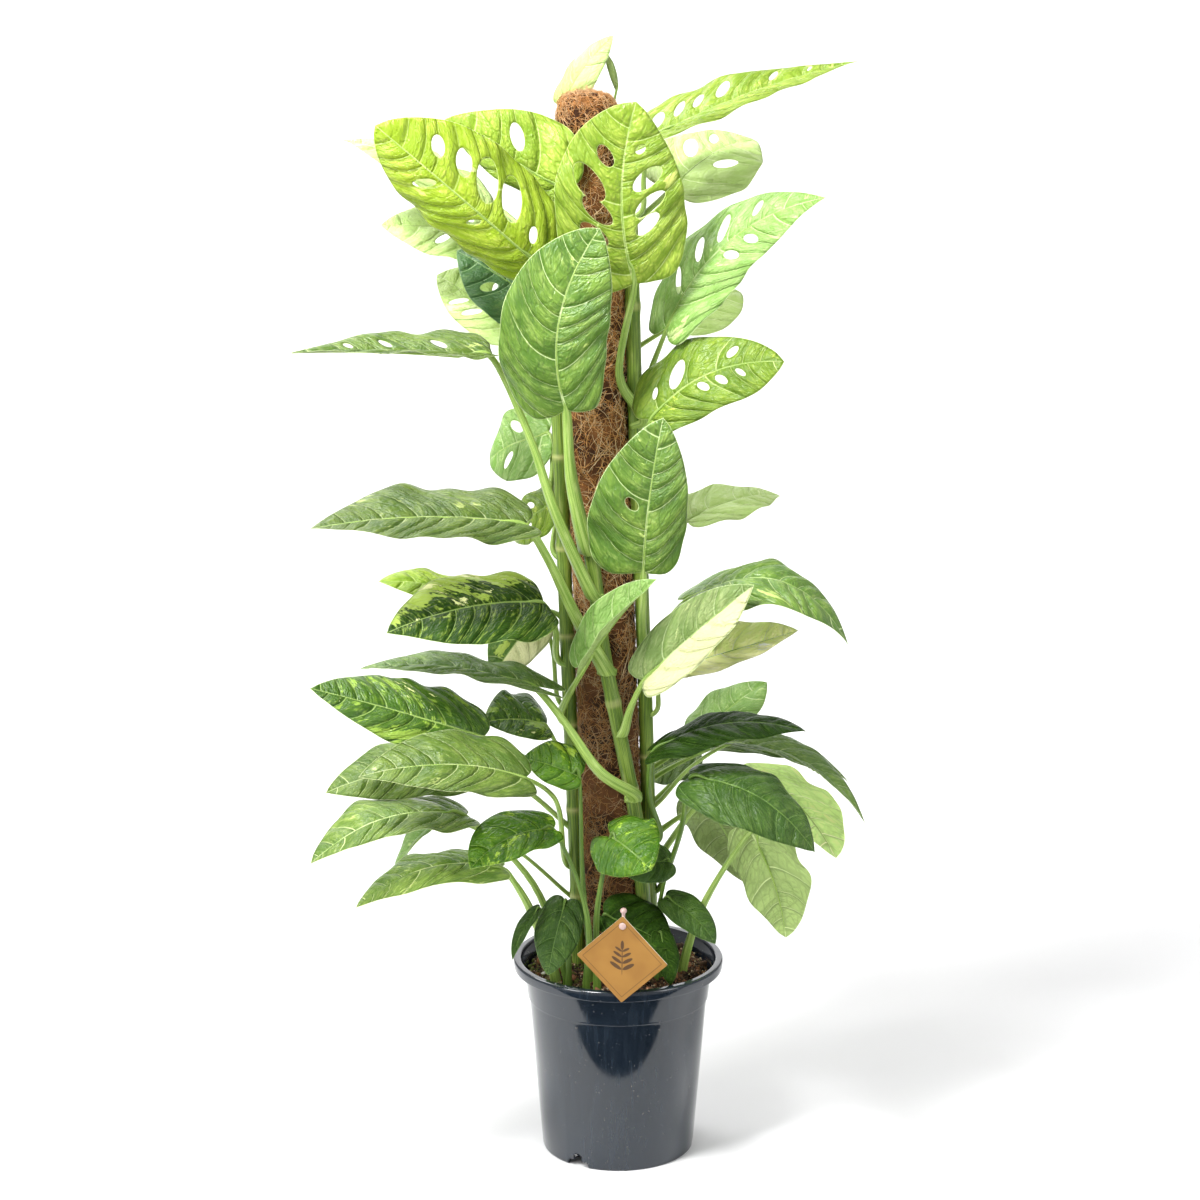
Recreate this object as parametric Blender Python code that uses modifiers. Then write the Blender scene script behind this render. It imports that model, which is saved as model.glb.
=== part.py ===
"""A potted monstera obliqua with marbled leaves, trained up a coir pole in a nursery pot.

Run with Blender 4.5. Everything is in metres with +Z up. The plant is laid out round the axis of
the pot, with the viewer in front at -Y, and one empty then carries it to the middle of its own box.
"""

import math
import random
from collections import namedtuple

import bmesh
import bpy
import numpy as np
from mathutils import Euler, Matrix, Vector
from mathutils.geometry import delaunay_2d_cdt

MM = 0.001

# Driving dimensions
PLANT_OFFSET = (37.8 * MM, 37.4 * MM, 0.0)  # carries the middle of the plant's box to the origin
CLEARANCE = 0.3 * MM  # between pieces that touch

POT_HEIGHT = 228 * MM
POT_RIM_RADIUS = 120 * MM
POT_MOUTH_RADIUS = 111 * MM
POT_NECK_RADIUS = 107 * MM
POT_BAND_RADIUS = 103.5 * MM
POT_FOOT_RADIUS = 86.5 * MM
POT_WALL = 2.2 * MM
POT_LIP_DEPTH = 12 * MM
POT_BAND_BOTTOM = 181 * MM
POT_FLOOR = 9 * MM
POT_SIDES = 32
NOTCH_COUNT = 3
NOTCH_FIRST_ANGLE = math.radians(-122)

SOIL_LEVEL = 215 * MM
SOIL_ROUGHNESS = 2.5 * MM

POLE_RADIUS = 33 * MM
POLE_BOTTOM = 40 * MM
POLE_TOP = 1205 * MM
POLE_FOOT_X = 5 * MM
POLE_LEAN = math.radians(-1.9)  # the pole leans to the viewer's left as it rises
CORE_RADIUS = 11 * MM
CORE_TOP = 1160 * MM

BLADE_THICKNESS = 0.9 * MM
STEM_RADIUS = 7.5 * MM

TAG_SIDE = 73 * MM
TAG_THICKNESS = 0.9 * MM
TAG_BOTTOM = (3 * MM, -126 * MM, 219 * MM)
TAG_FORWARD = math.radians(3)
TAG_ROLL = math.radians(1.5)  # in its own plane, to the right
TAG_TURN = math.radians(14.5)  # its right corner comes nearer to the viewer
TAG_HOLE_RADIUS = 2.2 * MM
TAG_HOLE_INSET = 12 * MM  # below the upper corner
PICK_RADIUS = 1.9 * MM

# Each vine stem: the angle round the pole in degrees at a few heights in millimetres.
# -90 is the side towards the viewer, 180 the viewer's left and 0 the viewer's right.
STEMS = {
    "vine_front": ((150, -32), (300, -38), (400, -48), (500, -72), (600, -94), (680, -102), (735, -112)),
    "vine_left": ((150, 176), (300, 168), (480, 172), (640, 178), (800, 184), (950, 180), (1052, 174)),
    "vine_right": ((150, 22), (330, 14), (500, 2), (650, -8), (800, -18), (940, -12), (1090, -6)),
    "vine_back": ((150, 96), (350, 88), (600, 80), (850, 96), (1010, 86), (1130, 92)),
}

# One leaf. Lengths are in millimetres from the pot's axis at the floor.
# root is (stem, height) or, for a shoot of its own, ("soil", x, y). halves are the widths of the left and
# right half, seen from the upper side with the tip up. face is where the upper side looks.
# Shares of the blade's length: arch lifts the middle of the midrib, nod bends the tip down, sway bends it
# to the right. fold lifts both halves into a V and cup rolls their edges back, both in degrees. belly moves
# the widest place towards the tip, and may be a pair (left, right) as fold and cup may. point sharpens the
# tip, and lobe draws the base out behind the petiole. stalk is the thickness of the petiole.
Leaf = namedtuple(
    "Leaf",
    "name root base tip halves face via arch nod sway twist fold cup wave lobe belly point stalk holes",
    defaults=((), 0.05, 0.0, 0.0, 0.0, 6.0, 22.0, 0.05, 1.0, 0.0, 0.2, 1.0, ()),
)

# A hole is (along, across, length, width): along runs from 0 at the base to 1 at the tip, across from -1
# at the left edge to 1 at the right, and the sizes are shares of the half width there.
LEAVES = (
    Leaf("leaf_crown_left_broad", ("vine_left", 930), (-90, -56, 1029), (-255, -96, 1177), (46, 70),
         (-0.1, -0.95, 0.3), arch=0.06, fold=(-10, 6), cup=(40, 22), wave=0.05, point=0.0, belly=(0.14, 0.06),
         holes=((0.44, 0.46, 0.70, 0.34), (0.29, 0.50, 0.72, 0.32), (0.72, 0.46, 0.42, 0.24),
                (0.58, 0.46, 0.46, 0.25), (0.10, 0.34, 0.30, 0.15), (0.66, -0.30, 0.56, 0.20),
                (0.36, -0.24, 0.34, 0.12))),
    Leaf("leaf_crown_left_folded", ("vine_left", 1030), (-66, -45, 1108), (-187, -16, 1178), (26, 60),
         (0.15, -0.95, 0.0), via=((-82, -34, 1082),), fold=(0, 12), cup=(20, 24), wave=0.08, lobe=2.5,
         belly=(0.0, -0.14), holes=((0.44, 0.44, 0.56, 0.26),)),
    Leaf("leaf_crown_centre", ("vine_right", 845), (16, -68, 1008), (17, -88, 1201), (72, 69),
         (0.0, -1.0, 0.1), via=((0, -29, 905),), sway=-0.075, arch=0.05, fold=4, cup=26, wave=0.05,
         lobe=0.3, belly=(0.09, 0.03), point=0.0, stalk=1.2,
         holes=((0.70, -0.32, 0.40, 0.22), (0.56, -0.50, 0.66, 0.32), (0.42, -0.36, 0.56, 0.24),
                (0.30, -0.44, 0.50, 0.22), (0.76, 0.32, 0.24, 0.16), (0.60, 0.42, 0.62, 0.28),
                (0.45, 0.44, 0.62, 0.24), (0.33, 0.38, 0.48, 0.22))),
    Leaf("leaf_crown_right_long", ("vine_right", 1070), (36, -16, 1160), (261, 16, 1238), (48, 32),
         (0.0, -0.36, 0.93), arch=0.04, fold=13, cup=14, wave=0.05, lobe=3.0, point=1.0, belly=(-0.22, 0.0),
         holes=((0.05, -0.46, 0.62, 0.30), (0.16, -0.46, 0.50, 0.20), (0.25, -0.44, 0.46, 0.20),
                (0.37, -0.50, 0.60, 0.30), (0.60, -0.50, 0.60, 0.24), (0.76, -0.48, 0.56, 0.22))),
    Leaf("leaf_crown_right_back", ("vine_back", 1010), (58, 44, 1100), (152, 122, 1145), (62, 66),
         (-0.5, -0.75, 0.45), arch=0.1, fold=6, cup=20,
         holes=((0.42, -0.42, 0.56, 0.26), (0.44, 0.40, 0.42, 0.22), (0.66, -0.42, 0.44, 0.20))),
    Leaf("leaf_upper_right", ("vine_right", 885), (50, -42, 957), (219, -80, 1101), (44, 49),
         (-0.35, -0.72, 0.6), via=((40, -22, 924),), sway=-0.13, arch=0.05, fold=4, cup=18, wave=0.05,
         point=0.5,
         holes=((0.68, -0.46, 0.56, 0.22), (0.50, -0.44, 0.76, 0.24), (0.36, -0.44, 0.62, 0.22),
                (0.20, -0.40, 0.70, 0.16), (0.60, 0.36, 0.48, 0.24), (0.47, 0.36, 0.44, 0.22))),
    Leaf("leaf_shoulder_right", ("vine_right", 780), (33, -72, 863), (174, -108, 931), (54, 42),
         (-0.1, -0.8, 0.58), sway=-0.10, arch=0.08, fold=5, cup=24, wave=0.06, lobe=1.4, belly=(-0.14, 0.18),
         point=0.0,
         holes=((0.68, -0.46, 0.44, 0.24), (0.30, -0.34, 0.60, 0.30), (0.72, 0.24, 0.34, 0.14),
                (0.58, 0.30, 0.40, 0.20), (0.44, 0.28, 0.40, 0.20), (0.12, -0.34, 0.24, 0.12))),
    Leaf("leaf_upper_front", ("vine_front", 712), (-57, -84, 875), (-21, -112, 1072), (63, 54),
         (0.02, -0.97, 0.22), via=((-52, -68, 800),), arch=0.09, sway=-0.12, fold=5, cup=24, wave=0.03,
         lobe=0.5, belly=(0.05, 0.10), point=0.0, stalk=1.7),
    Leaf("leaf_upper_left_long", ("vine_front", 660), (-135, -58, 929), (-353, -128, 943), (36, 50),
         (-0.1, -0.19, 0.98), via=((-70, -60, 760), (-97, -58, 842)), arch=0.02, fold=17, cup=10, wave=0.06,
         lobe=0.0, stalk=1.6, point=0.9, belly=(-0.05, -0.18),
         holes=((0.69, 0.40, 0.50, 0.26), (0.51, 0.36, 0.44, 0.22), (0.25, 0.36, 0.42, 0.22))),
    Leaf("leaf_upper_left_dark", ("vine_left", 885), (-84, 14, 974), (-178, 36, 1031), (46, 48),
         (-0.1, -0.75, 0.65), fold=6, cup=22,
         holes=((0.52, -0.42, 0.46, 0.24), (0.30, 0.36, 0.44, 0.26), (0.50, 0.36, 0.36, 0.20))),
    Leaf("leaf_upper_left_back", ("vine_back", 850), (-112, 78, 937), (-206, 138, 992), (36, 52),
         (-0.1, -0.8, 0.6), fold=6, cup=20,
         holes=((0.62, -0.44, 0.76, 0.20), (0.44, -0.44, 0.66, 0.20), (0.40, 0.42, 0.46, 0.20))),
    Leaf("leaf_crown_left_far", ("vine_left", 985), (-150, 34, 1082), (-306, 60, 1150), (42, 42),
         (0.2, -0.35, 0.9), arch=0.08, cup=20, point=0.8),
    Leaf("leaf_crown_left_under", ("vine_back", 960), (-120, 92, 1040), (-266, 100, 1052), (48, 48),
         (0.0, -0.6, 0.8), arch=0.04, cup=20,
         holes=((0.5, -0.42, 0.46, 0.2), (0.35, 0.42, 0.46, 0.2))),
    Leaf("leaf_shoulder_left_back", ("vine_left", 745), (-78, 28, 829), (-146, 84, 788), (46, 46),
         (-0.5, -0.75, 0.5), arch=0.12,
         holes=((0.55, -0.4, 0.5, 0.22), (0.40, 0.42, 0.5, 0.22))),
    Leaf("leaf_shoulder_back_small", ("vine_left", 690), (-72, 30, 752), (-118, 72, 700), (33, 33),
         (-0.6, -0.6, 0.5), arch=0.1,
         holes=((0.5, -0.4, 0.4, 0.2), (0.4, 0.42, 0.4, 0.2))),
    Leaf("shoot_crown", ("vine_back", 1118), (-62, 48, 1190), (-6, 60, 1262), (22, 22),
         (-0.5, -0.8, 0.2), arch=0.1, cup=40),
    Leaf("shoot_crown", ("vine_back", 1118), (-2, 58, 1205), (-16, 50, 1246), (5, 5),
         (0.3, -0.9, 0.2), arch=0.1, cup=70),
    Leaf("leaf_upper_right_back", ("vine_back", 880), (62, 52, 950), (138, 120, 975), (42, 42),
         (-0.3, -0.75, 0.6), arch=0.08),
    Leaf("leaf_middle_left_high", ("vine_front", 575), (-100, -106, 756), (-327, -162, 762), (54, 62),
         (-0.05, -0.33, 0.94), via=((-46, -62, 640), (-76, -92, 712)), arch=0.05, fold=11, cup=16, wave=0.08,
         stalk=1.5, point=0.5),
    Leaf("leaf_middle_left_marbled", ("vine_left", 570), (-82, -66, 660), (-249, -142, 644), (62, 62),
         (-0.1, -0.5, 0.86), arch=0.08, fold=5, cup=20, wave=0.06, lobe=0.3),
    Leaf("leaf_middle_left_lime", ("vine_left", 620), (-158, -14, 655), (-264, -44, 678), (30, 30),
         (0.0, -0.4, 0.9), via=((-96, -14, 638),), arch=0.06),
    Leaf("leaf_middle_left_cream", ("vine_left", 520), (-86, 14, 628), (-142, -4, 558), (30, 36),
         (-0.2, -0.8, 0.5), arch=0.08),
    Leaf("leaf_waist_left_marbled", ("vine_left", 425), (-147, -94, 515), (-331, -152, 586), (44, 62),
         (-0.1, -0.6, 0.8), sway=-0.03, arch=0.05, fold=5, cup=(26, 34), wave=0.04, belly=(0.0, -0.05)),
    Leaf("leaf_waist_left_edge", ("vine_front", 425), (-91, -68, 566), (-289, -44, 578), (30, 37),
         (0.0, -0.10, 1.0), via=((-22, -74, 470), (-60, -76, 527)), arch=0.07, fold=9, cup=12, wave=0.05,
         lobe=3.4, stalk=1.8, point=0.4),
    Leaf("leaf_waist_left_front", ("vine_left", 330), (-100, -140, 483), (-277, -198, 501), (40, 48),
         (-0.1, -0.55, 0.83), via=((-66, -58, 420), (-78, -84, 450)), arch=0.11, fold=6, cup=(20, 6),
         wave=0.04),
    Leaf("leaf_waist_left_light", ("vine_left", 375), (-156, -48, 470), (-323, -90, 450), (42, 46),
         (-0.1, -0.6, 0.8), arch=0.1),
    Leaf("leaf_lower_left_long", ("soil", -60, -40), (-167, -112, 431), (-332, -180, 398), (40, 62),
         (-0.1, -0.2, 0.97), via=((-96, -46, 330),), arch=0.15, fold=4, cup=22, wave=0.06),
    Leaf("leaf_lower_left_hanging", ("vine_left", 290), (-192, -54, 411), (-252, -56, 338), (23, 23),
         (-0.8, -0.1, 0.6), arch=0.1, fold=24),
    Leaf("leaf_lower_left_drooping", ("soil", -72, -50), (-129, -106, 370), (-288, -148, 337), (28, 46),
         (-0.1, -0.35, 0.94), via=((-98, -56, 300), (-118, -80, 346)), arch=0.16, fold=-4, cup=26, wave=0.08,
         stalk=1.3),
    Leaf("leaf_lower_left_glossy", ("soil", -36, -78), (-71, -110, 415), (-161, -164, 387), (30, 37),
         (-0.1, -0.6, 0.8), via=((-33, -92, 290), (-45, -100, 350)), arch=0.12, sway=0.06, fold=6, cup=16,
         belly=0.08),
    Leaf("leaf_waist_front_small", ("soil", -30, -56), (-43, -84, 467), (-106, -84, 488), (24, 37),
         (0.1, -0.65, 0.75), via=((-40, -66, 340),), arch=0.06),
    Leaf("leaf_waist_left_back", ("vine_left", 440), (-80, -20, 508), (-150, -52, 520), (28, 48),
         (-0.1, -0.6, 0.8), arch=0.1),
    Leaf("leaf_middle_front", ("vine_right", 545), (26, -88, 698), (46, -120, 873), (64, 43),
         (0.0, -0.97, 0.24), via=((26, -68, 620),), arch=0.06, sway=-0.02, fold=5, cup=22, wave=0.04,
         lobe=0.2, belly=(-0.06, 0.02), point=0.0, stalk=1.4,
         holes=((0.46, -0.30, 0.30, 0.18),)),
    Leaf("leaf_middle_front_rolled", ("vine_left", 500), (-36, -80, 596), (40, -114, 697), (30, 28),
         (-0.45, -0.5, 0.75), arch=0.05, fold=30, cup=-30, lobe=2.6, stalk=1.3),
    Leaf("leaf_middle_right_cream", ("vine_front", 500), (26, -90, 578), (144, -120, 692), (34, 35),
         (-0.3, -0.85, 0.45), arch=0.04, fold=16, cup=6, belly=0.06, lobe=0.7, stalk=1.3),
    Leaf("leaf_middle_right_light", ("vine_right", 510), (54, -46, 580), (196, -72, 630), (44, 21),
         (-0.1, -0.6, 0.8), sway=0.04, arch=0.04, fold=6),
    Leaf("leaf_middle_right_arched", ("vine_right", 580), (73, -42, 657), (253, -62, 608), (46, 54),
         (-0.1, -0.25, 0.96), arch=0.30, fold=6, cup=26, wave=0.08, point=0.6),
    Leaf("leaf_middle_right_back", ("vine_back", 650), (78, 46, 729), (189, 130, 738), (42, 38),
         (0.0, -0.3, 0.95), arch=0.08, fold=10, point=0.8),
    Leaf("leaf_waist_right_dark", ("vine_right", 360), (37, -68, 492), (205, -86, 519), (48, 48),
         (0.0, -0.12, 0.99), arch=0.13, fold=4, cup=26, wave=0.07),
    Leaf("leaf_waist_right_back", ("vine_back", 400), (92, 30, 480), (172, 94, 527), (34, 34),
         (-0.2, -0.6, 0.78), arch=0.06),
    Leaf("leaf_lower_right_narrow", ("vine_right", 400), (122, -26, 488), (277, -46, 399), (32, 32),
         (0.35, -0.1, 0.93), arch=0.15, fold=18, cup=10, point=0.8),
    Leaf("leaf_lower_right_narrow_back", ("vine_back", 380), (112, 30, 470), (266, 46, 420), (34, 34),
         (0.2, -0.1, 0.97), arch=0.12, fold=14, point=0.8),
    Leaf("leaf_lower_right_front", ("vine_right", 300), (78, -96, 470), (213, -140, 398), (52, 46),
         (0.3, -0.6, 0.75), via=((70, -36, 390),), arch=0.2, fold=-4, cup=30, wave=0.05),
    Leaf("leaf_lower_right_broad", ("vine_right", 335), (139, -14, 457), (250, 26, 336), (60, 66),
         (0.5, 0.62, 0.6), arch=0.1, cup=14, point=0.0),
    Leaf("leaf_lower_right_hanging", ("soil", 74, -22), (147, -76, 401), (186, -96, 284), (54, 56),
         (0.55, 0.72, 0.42), via=((98, -36, 306),), arch=0.08, cup=14, point=0.0),
    Leaf("leaf_lower_right_under", ("vine_back", 300), (98, 42, 398), (145, 80, 290), (50, 50),
         (0.4, 0.75, 0.5), arch=0.1, point=0.0),
    Leaf("leaf_waist_right_behind", ("vine_back", 345), (94, 72, 448), (34, 98, 410), (30, 32),
         (-0.1, -0.6, 0.8), arch=0.08),
    Leaf("shoot_collar_front", ("soil", -24, -78), (-9, -72, 394), (36, -112, 368), (45, 40),
         (-0.1, -0.75, 0.65), via=((-24, -82, 310),), arch=0.12, cup=26, lobe=6.0, point=0.0),
    Leaf("shoot_collar_side", ("soil", 42, -46), (56, -62, 362), (-6, -84, 360), (26, 26),
         (0.2, -0.7, 0.7), via=((46, -42, 300),), arch=0.08, lobe=2.0),
    Leaf("shoot_collar_side", ("soil", 47, -42), (53, -50, 315), (109, -68, 266), (24, 22),
         (0.2, -0.6, 0.78), arch=0.14, cup=24),
    Leaf("shoot_collar_right", ("soil", 18, -66), (-16, -66, 300), (60, -84, 268), (44, 25),
         (0.1, -0.65, 0.75), arch=0.05, cup=30, lobe=1.6),
    Leaf("shoot_collar_right", ("soil", 22, -70), (46, -78, 284), (58, -92, 226), (15, 15),
         (0.3, -0.85, 0.4), arch=0.1, fold=10),
    Leaf("shoot_collar_left", ("soil", -56, -66), (-59, -72, 319), (-79, -98, 240), (27, 25),
         (-0.1, -0.9, 0.4), arch=0.14, cup=30),
    Leaf("shoot_collar_left", ("soil", -60, -62), (-88, -78, 312), (-118, -108, 262), (9, 9),
         (-0.4, -0.7, 0.5), arch=0.16, fold=20),
)

# Half of a blade's outline, from the base to the tip: share of the length, share of the half width
HALF_OUTLINE = (
    (0.0, 0.0), (-0.045, 0.26), (-0.03, 0.60), (0.08, 0.86), (0.22, 0.98), (0.38, 1.0), (0.55, 0.93),
    (0.71, 0.76), (0.85, 0.50), (0.95, 0.23), (1.0, 0.0),
)


def clear_scene():
    for obj in list(bpy.data.objects):
        bpy.data.objects.remove(obj, do_unlink=True)


def new_collection(name):
    collection = bpy.data.collections.new(name)
    bpy.context.scene.collection.children.link(collection)
    return collection


def new_material(name, colour, roughness, metallic=0.0):
    material = bpy.data.materials.new(name)
    material.use_nodes = True
    shader = material.node_tree.nodes["Principled BSDF"]
    shader.inputs["Base Color"].default_value = (*colour, 1.0)
    shader.inputs["Roughness"].default_value = roughness
    shader.inputs["Metallic"].default_value = metallic
    material.diffuse_color = (*colour, 1.0)
    return material


def new_object(name, mesh, collection, material=None):
    obj = bpy.data.objects.new(name, mesh)
    collection.objects.link(obj)
    if material:
        mesh.materials.clear()
        mesh.materials.append(material)
    return obj


def mesh_of(points, faces):
    mesh = bpy.data.meshes.new("mesh")
    mesh.from_pydata([tuple(p) for p in points], [], [tuple(f) for f in faces])
    mesh.update()
    return mesh


def applied(obj):
    """Replaces the object's mesh by the evaluated one and drops its modifiers."""
    bpy.context.view_layer.update()
    evaluated = obj.evaluated_get(bpy.context.evaluated_depsgraph_get())
    mesh = bpy.data.meshes.new_from_object(evaluated)
    obj.modifiers.clear()
    obj.data = mesh
    return obj


def clean(mesh, distance=1e-6):
    work = bmesh.new()
    work.from_mesh(mesh)
    bmesh.ops.remove_doubles(work, verts=work.verts, dist=distance)
    bmesh.ops.recalc_face_normals(work, faces=work.faces)
    work.to_mesh(mesh)
    work.free()


def boolean(obj, other, operation):
    modifier = obj.modifiers.new(operation.lower(), "BOOLEAN")
    modifier.operation = operation
    modifier.object = other
    modifier.solver = "EXACT"


def make_cutter(obj):
    obj.hide_render = True
    obj.display_type = "WIRE"
    return obj


def tube(name, points, radii, collection, resolution=1):
    """A bevelled curve through the points, made a closed mesh. Points and radii are in metres."""
    curve = bpy.data.curves.new(name, "CURVE")
    curve.dimensions = "3D"
    curve.bevel_depth = MM
    curve.bevel_resolution = resolution
    curve.use_fill_caps = True
    spline = curve.splines.new("POLY")
    spline.points.add(len(points) - 1)
    for point, place, radius in zip(spline.points, points, radii):
        point.co = (*place, 1.0)
        point.radius = radius / MM
    guide = bpy.data.objects.new(name, curve)
    collection.objects.link(guide)
    bpy.context.view_layer.update()
    mesh = bpy.data.meshes.new_from_object(guide.evaluated_get(bpy.context.evaluated_depsgraph_get()))
    bpy.data.objects.remove(guide)
    clean(mesh)
    return new_object(name, mesh, collection)


def turned(name, profile, collection, sides):
    """A body turned from a profile of (radius, height), which runs down its outer side."""
    mesh = bpy.data.meshes.new(name)
    mesh.from_pydata([(r, 0.0, z) for r, z in profile], [(i, i + 1) for i in range(len(profile) - 1)], [])
    obj = new_object(name, mesh, collection)
    screw = obj.modifiers.new("turn", "SCREW")
    screw.steps = screw.render_steps = sides
    screw.use_merge_vertices = True
    screw.merge_threshold = 0.00005
    return obj


def smooth_path(points, steps):
    """Points along a curve through the given ones, `steps` to each stretch."""
    points = [np.array(p, float) for p in points]
    points = [2 * points[0] - points[1], *points, 2 * points[-1] - points[-2]]
    path = []
    for a, b, c, d in zip(points, points[1:], points[2:], points[3:]):
        for t in np.linspace(0, 1, steps, endpoint=False):
            path.append(0.5 * (2 * b + (c - a) * t + (2 * a - 5 * b + 4 * c - d) * t**2
                               + (3 * b - 3 * c + d - a) * t**3))
    return np.array([*path, points[-2]])


def unit(vector):
    return vector / np.linalg.norm(vector)


def pole_axis(height):
    return np.array([POLE_FOOT_X + math.tan(POLE_LEAN) * height, 0.0, height])


def stem_point(name, height_mm):
    """A point on a vine's own axis. The vine lies against the pole, turning round it as it climbs."""
    heights, angles = zip(*STEMS[name])
    angle = math.radians(np.interp(height_mm, heights, angles))
    reach = POLE_RADIUS + STEM_RADIUS + 2.2 * MM
    return pole_axis(height_mm * MM) + reach * np.array([math.cos(angle), math.sin(angle), 0.0])


class Blade:
    """One leaf blade: its flat outline, and the way that it is bent in space."""

    def __init__(self, leaf):
        self.leaf = leaf
        self.base = np.array(leaf.base) * MM
        chord = np.array(leaf.tip) * MM - self.base
        self.length = float(np.linalg.norm(chord))
        self.along = chord / self.length
        face = np.array(leaf.face, float)
        self.face = unit(face - face @ self.along * self.along)
        self.side = np.cross(self.along, self.face)
        self.halves = [half * MM for half in leaf.halves]

    def spine(self, u):
        """The midrib's point at a share of the length; behind the base it runs on straight."""
        leaf = self.leaf
        bow = 4 * u * (1 - max(u, 0.0))
        nod = max(u, 0.0) ** 3 - u
        lift = leaf.arch * bow - leaf.nod * nod
        return self.base + self.length * (u * self.along + lift * self.face + leaf.sway * bow * self.side)

    def outline(self, right, steps):
        """(share of the length, distance from the midrib) down one half, from base to tip."""
        shaped = [(u * (self.leaf.lobe if u < 0 else 1.0), v, 0.0) for u, v in HALF_OUTLINE]
        points = smooth_path(shaped, steps)[:, :2]
        u = points[:, 0]
        sharper = 1.0 + self.leaf.point * np.clip((u - 0.45) / 0.55, 0.0, 1.0)
        out = self.halves[right] * np.maximum(points[:, 1], 0.0) ** sharper
        bulge = of_half(self.leaf.belly, right) * np.sin(np.pi * np.clip(u, 0, 1))
        return np.column_stack([u + bulge, out if right else -out])

    def width_at(self, u, right):
        """The half width at a share of the length, inside the blade."""
        edge = self.outline(right, 1)
        edge = edge[2:] if self.leaf.lobe > 0 else edge
        return float(np.interp(u, edge[:, 0], np.abs(edge[:, 1])))

    def point(self, u, v):
        """The point of the bent blade at share u along and, in metres, v to the right of the midrib."""
        leaf = self.leaf
        right = int(v > 0)
        step = 0.01
        tangent = unit(self.spine(u + step) - self.spine(u - step))
        side = unit(self.side - self.side @ tangent * tangent)
        normal = np.cross(side, tangent)
        turn = math.radians(leaf.twist) * u
        side, normal = (side * math.cos(turn) + normal * math.sin(turn),
                        normal * math.cos(turn) - side * math.sin(turn))
        half = self.halves[right]
        share = abs(v) / half
        rolled = math.radians(of_half(leaf.cup, right)) * share / 2
        slope = math.radians(of_half(leaf.fold, right)) - rolled
        out = abs(v) * (math.sin(rolled) / rolled if abs(rolled) > 1e-6 else 1.0)
        lift = out * math.sin(slope)
        lift += leaf.wave * half * share**2 * math.sin(13.0 * u + (0.6 if right else 2.4))
        return self.spine(u) + math.copysign(out * math.cos(slope), v) * side + lift * normal

    def hole(self, along, across, length, width, sides):
        """One hole's outline in flat (u, v): an oval that leans forward as the side veins do."""
        lean = math.radians(52 - 14 * along)
        half = self.width_at(along, int(across > 0))
        centre = np.array([along * self.length, across * half])
        forward = np.array([math.cos(lean), math.copysign(math.sin(lean), across)])
        sideways = np.array([-forward[1], forward[0]])
        turns = np.arange(sides) * 2 * math.pi / sides
        oval = length * np.outer(np.cos(turns), forward) + width * np.outer(np.sin(turns), sideways)
        ring = centre + half * oval / 2
        return np.column_stack([ring[:, 0] / self.length, ring[:, 1]])


def of_half(value, right):
    """A leaf's value for one half, where it may be a pair (left, right)."""
    return value[right] if isinstance(value, tuple) else value


def inside(point, ring):
    x, y = point
    crossings = False
    for (x1, y1), (x2, y2) in zip(ring, np.roll(ring, -1, axis=0)):
        if (y1 > y) != (y2 > y) and x < x1 + (x2 - x1) * (y - y1) / (y2 - y1):
            crossings = not crossings
    return crossings


def flat_blade(blade, ribs, between, hole_sides, steps):
    """The flat blade as points (u, v) and triangles: rim, midrib, holes, and a few points between."""
    right = blade.outline(1, steps)[1:-1]
    left = blade.outline(0, steps)[1:-1][::-1]
    rim = np.vstack([[[0.0, 0.0]], right, [[1.0, 0.0]], left])
    rings = [rim, *(blade.hole(*hole, sides=hole_sides) for hole in blade.leaf.holes)]
    midrib = np.column_stack([ribs, np.zeros(len(ribs))])
    inner = [(u, s * 0.55 * blade.width_at(u, int(s > 0))) for u in between for s in (-1, 1)]
    inner = [p for p in inner if not any(inside(p, ring) for ring in rings[1:])]
    points, edges = [], []
    for ring in rings:
        first = len(points)
        points += ring.tolist()
        edges += [(first + i, first + (i + 1) % len(ring)) for i in range(len(ring))]
    spine = [0, *range(len(points), len(points) + len(ribs)), 1 + len(right)]
    edges += list(zip(spine, spine[1:]))
    points += midrib.tolist() + inner
    stretched = [Vector((u * blade.length, v)) for u, v in points]
    flat, _, faces, *_ = delaunay_2d_cdt(stretched, edges, [], 0, 1e-7, False)
    flat = np.array([(p[0] / blade.length, p[1]) for p in flat])
    kept = []
    for face in faces:
        middle = flat[list(face)].mean(axis=0)
        if inside(middle, rings[0]) and not any(inside(middle, ring) for ring in rings[1:]):
            kept.append(face)
    return flat, kept


def blade_object(name, leaf, collection):
    """The blade with its holes, meshed flat, then bent and thickened."""
    blade = Blade(leaf)
    small = sum(leaf.halves) < 72
    ribs = (0.3, 0.65) if small else (0.16, 0.36, 0.58, 0.8)
    between = (0.2, 0.42, 0.64) if leaf.holes else ()
    flat, faces = flat_blade(blade, ribs, between, hole_sides=6, steps=1)
    mesh = mesh_of([blade.point(u, v) for u, v in flat], faces)
    work = bmesh.new()
    work.from_mesh(mesh)
    bmesh.ops.delete(work, geom=[v for v in work.verts if not v.link_faces], context="VERTS")
    work.to_mesh(mesh)
    work.free()
    obj = new_object(name, mesh, collection)
    solidify = obj.modifiers.new("thickness", "SOLIDIFY")
    solidify.thickness = BLADE_THICKNESS
    solidify.offset = 0.0
    applied(obj)
    clean(obj.data)
    return obj, blade


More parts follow.
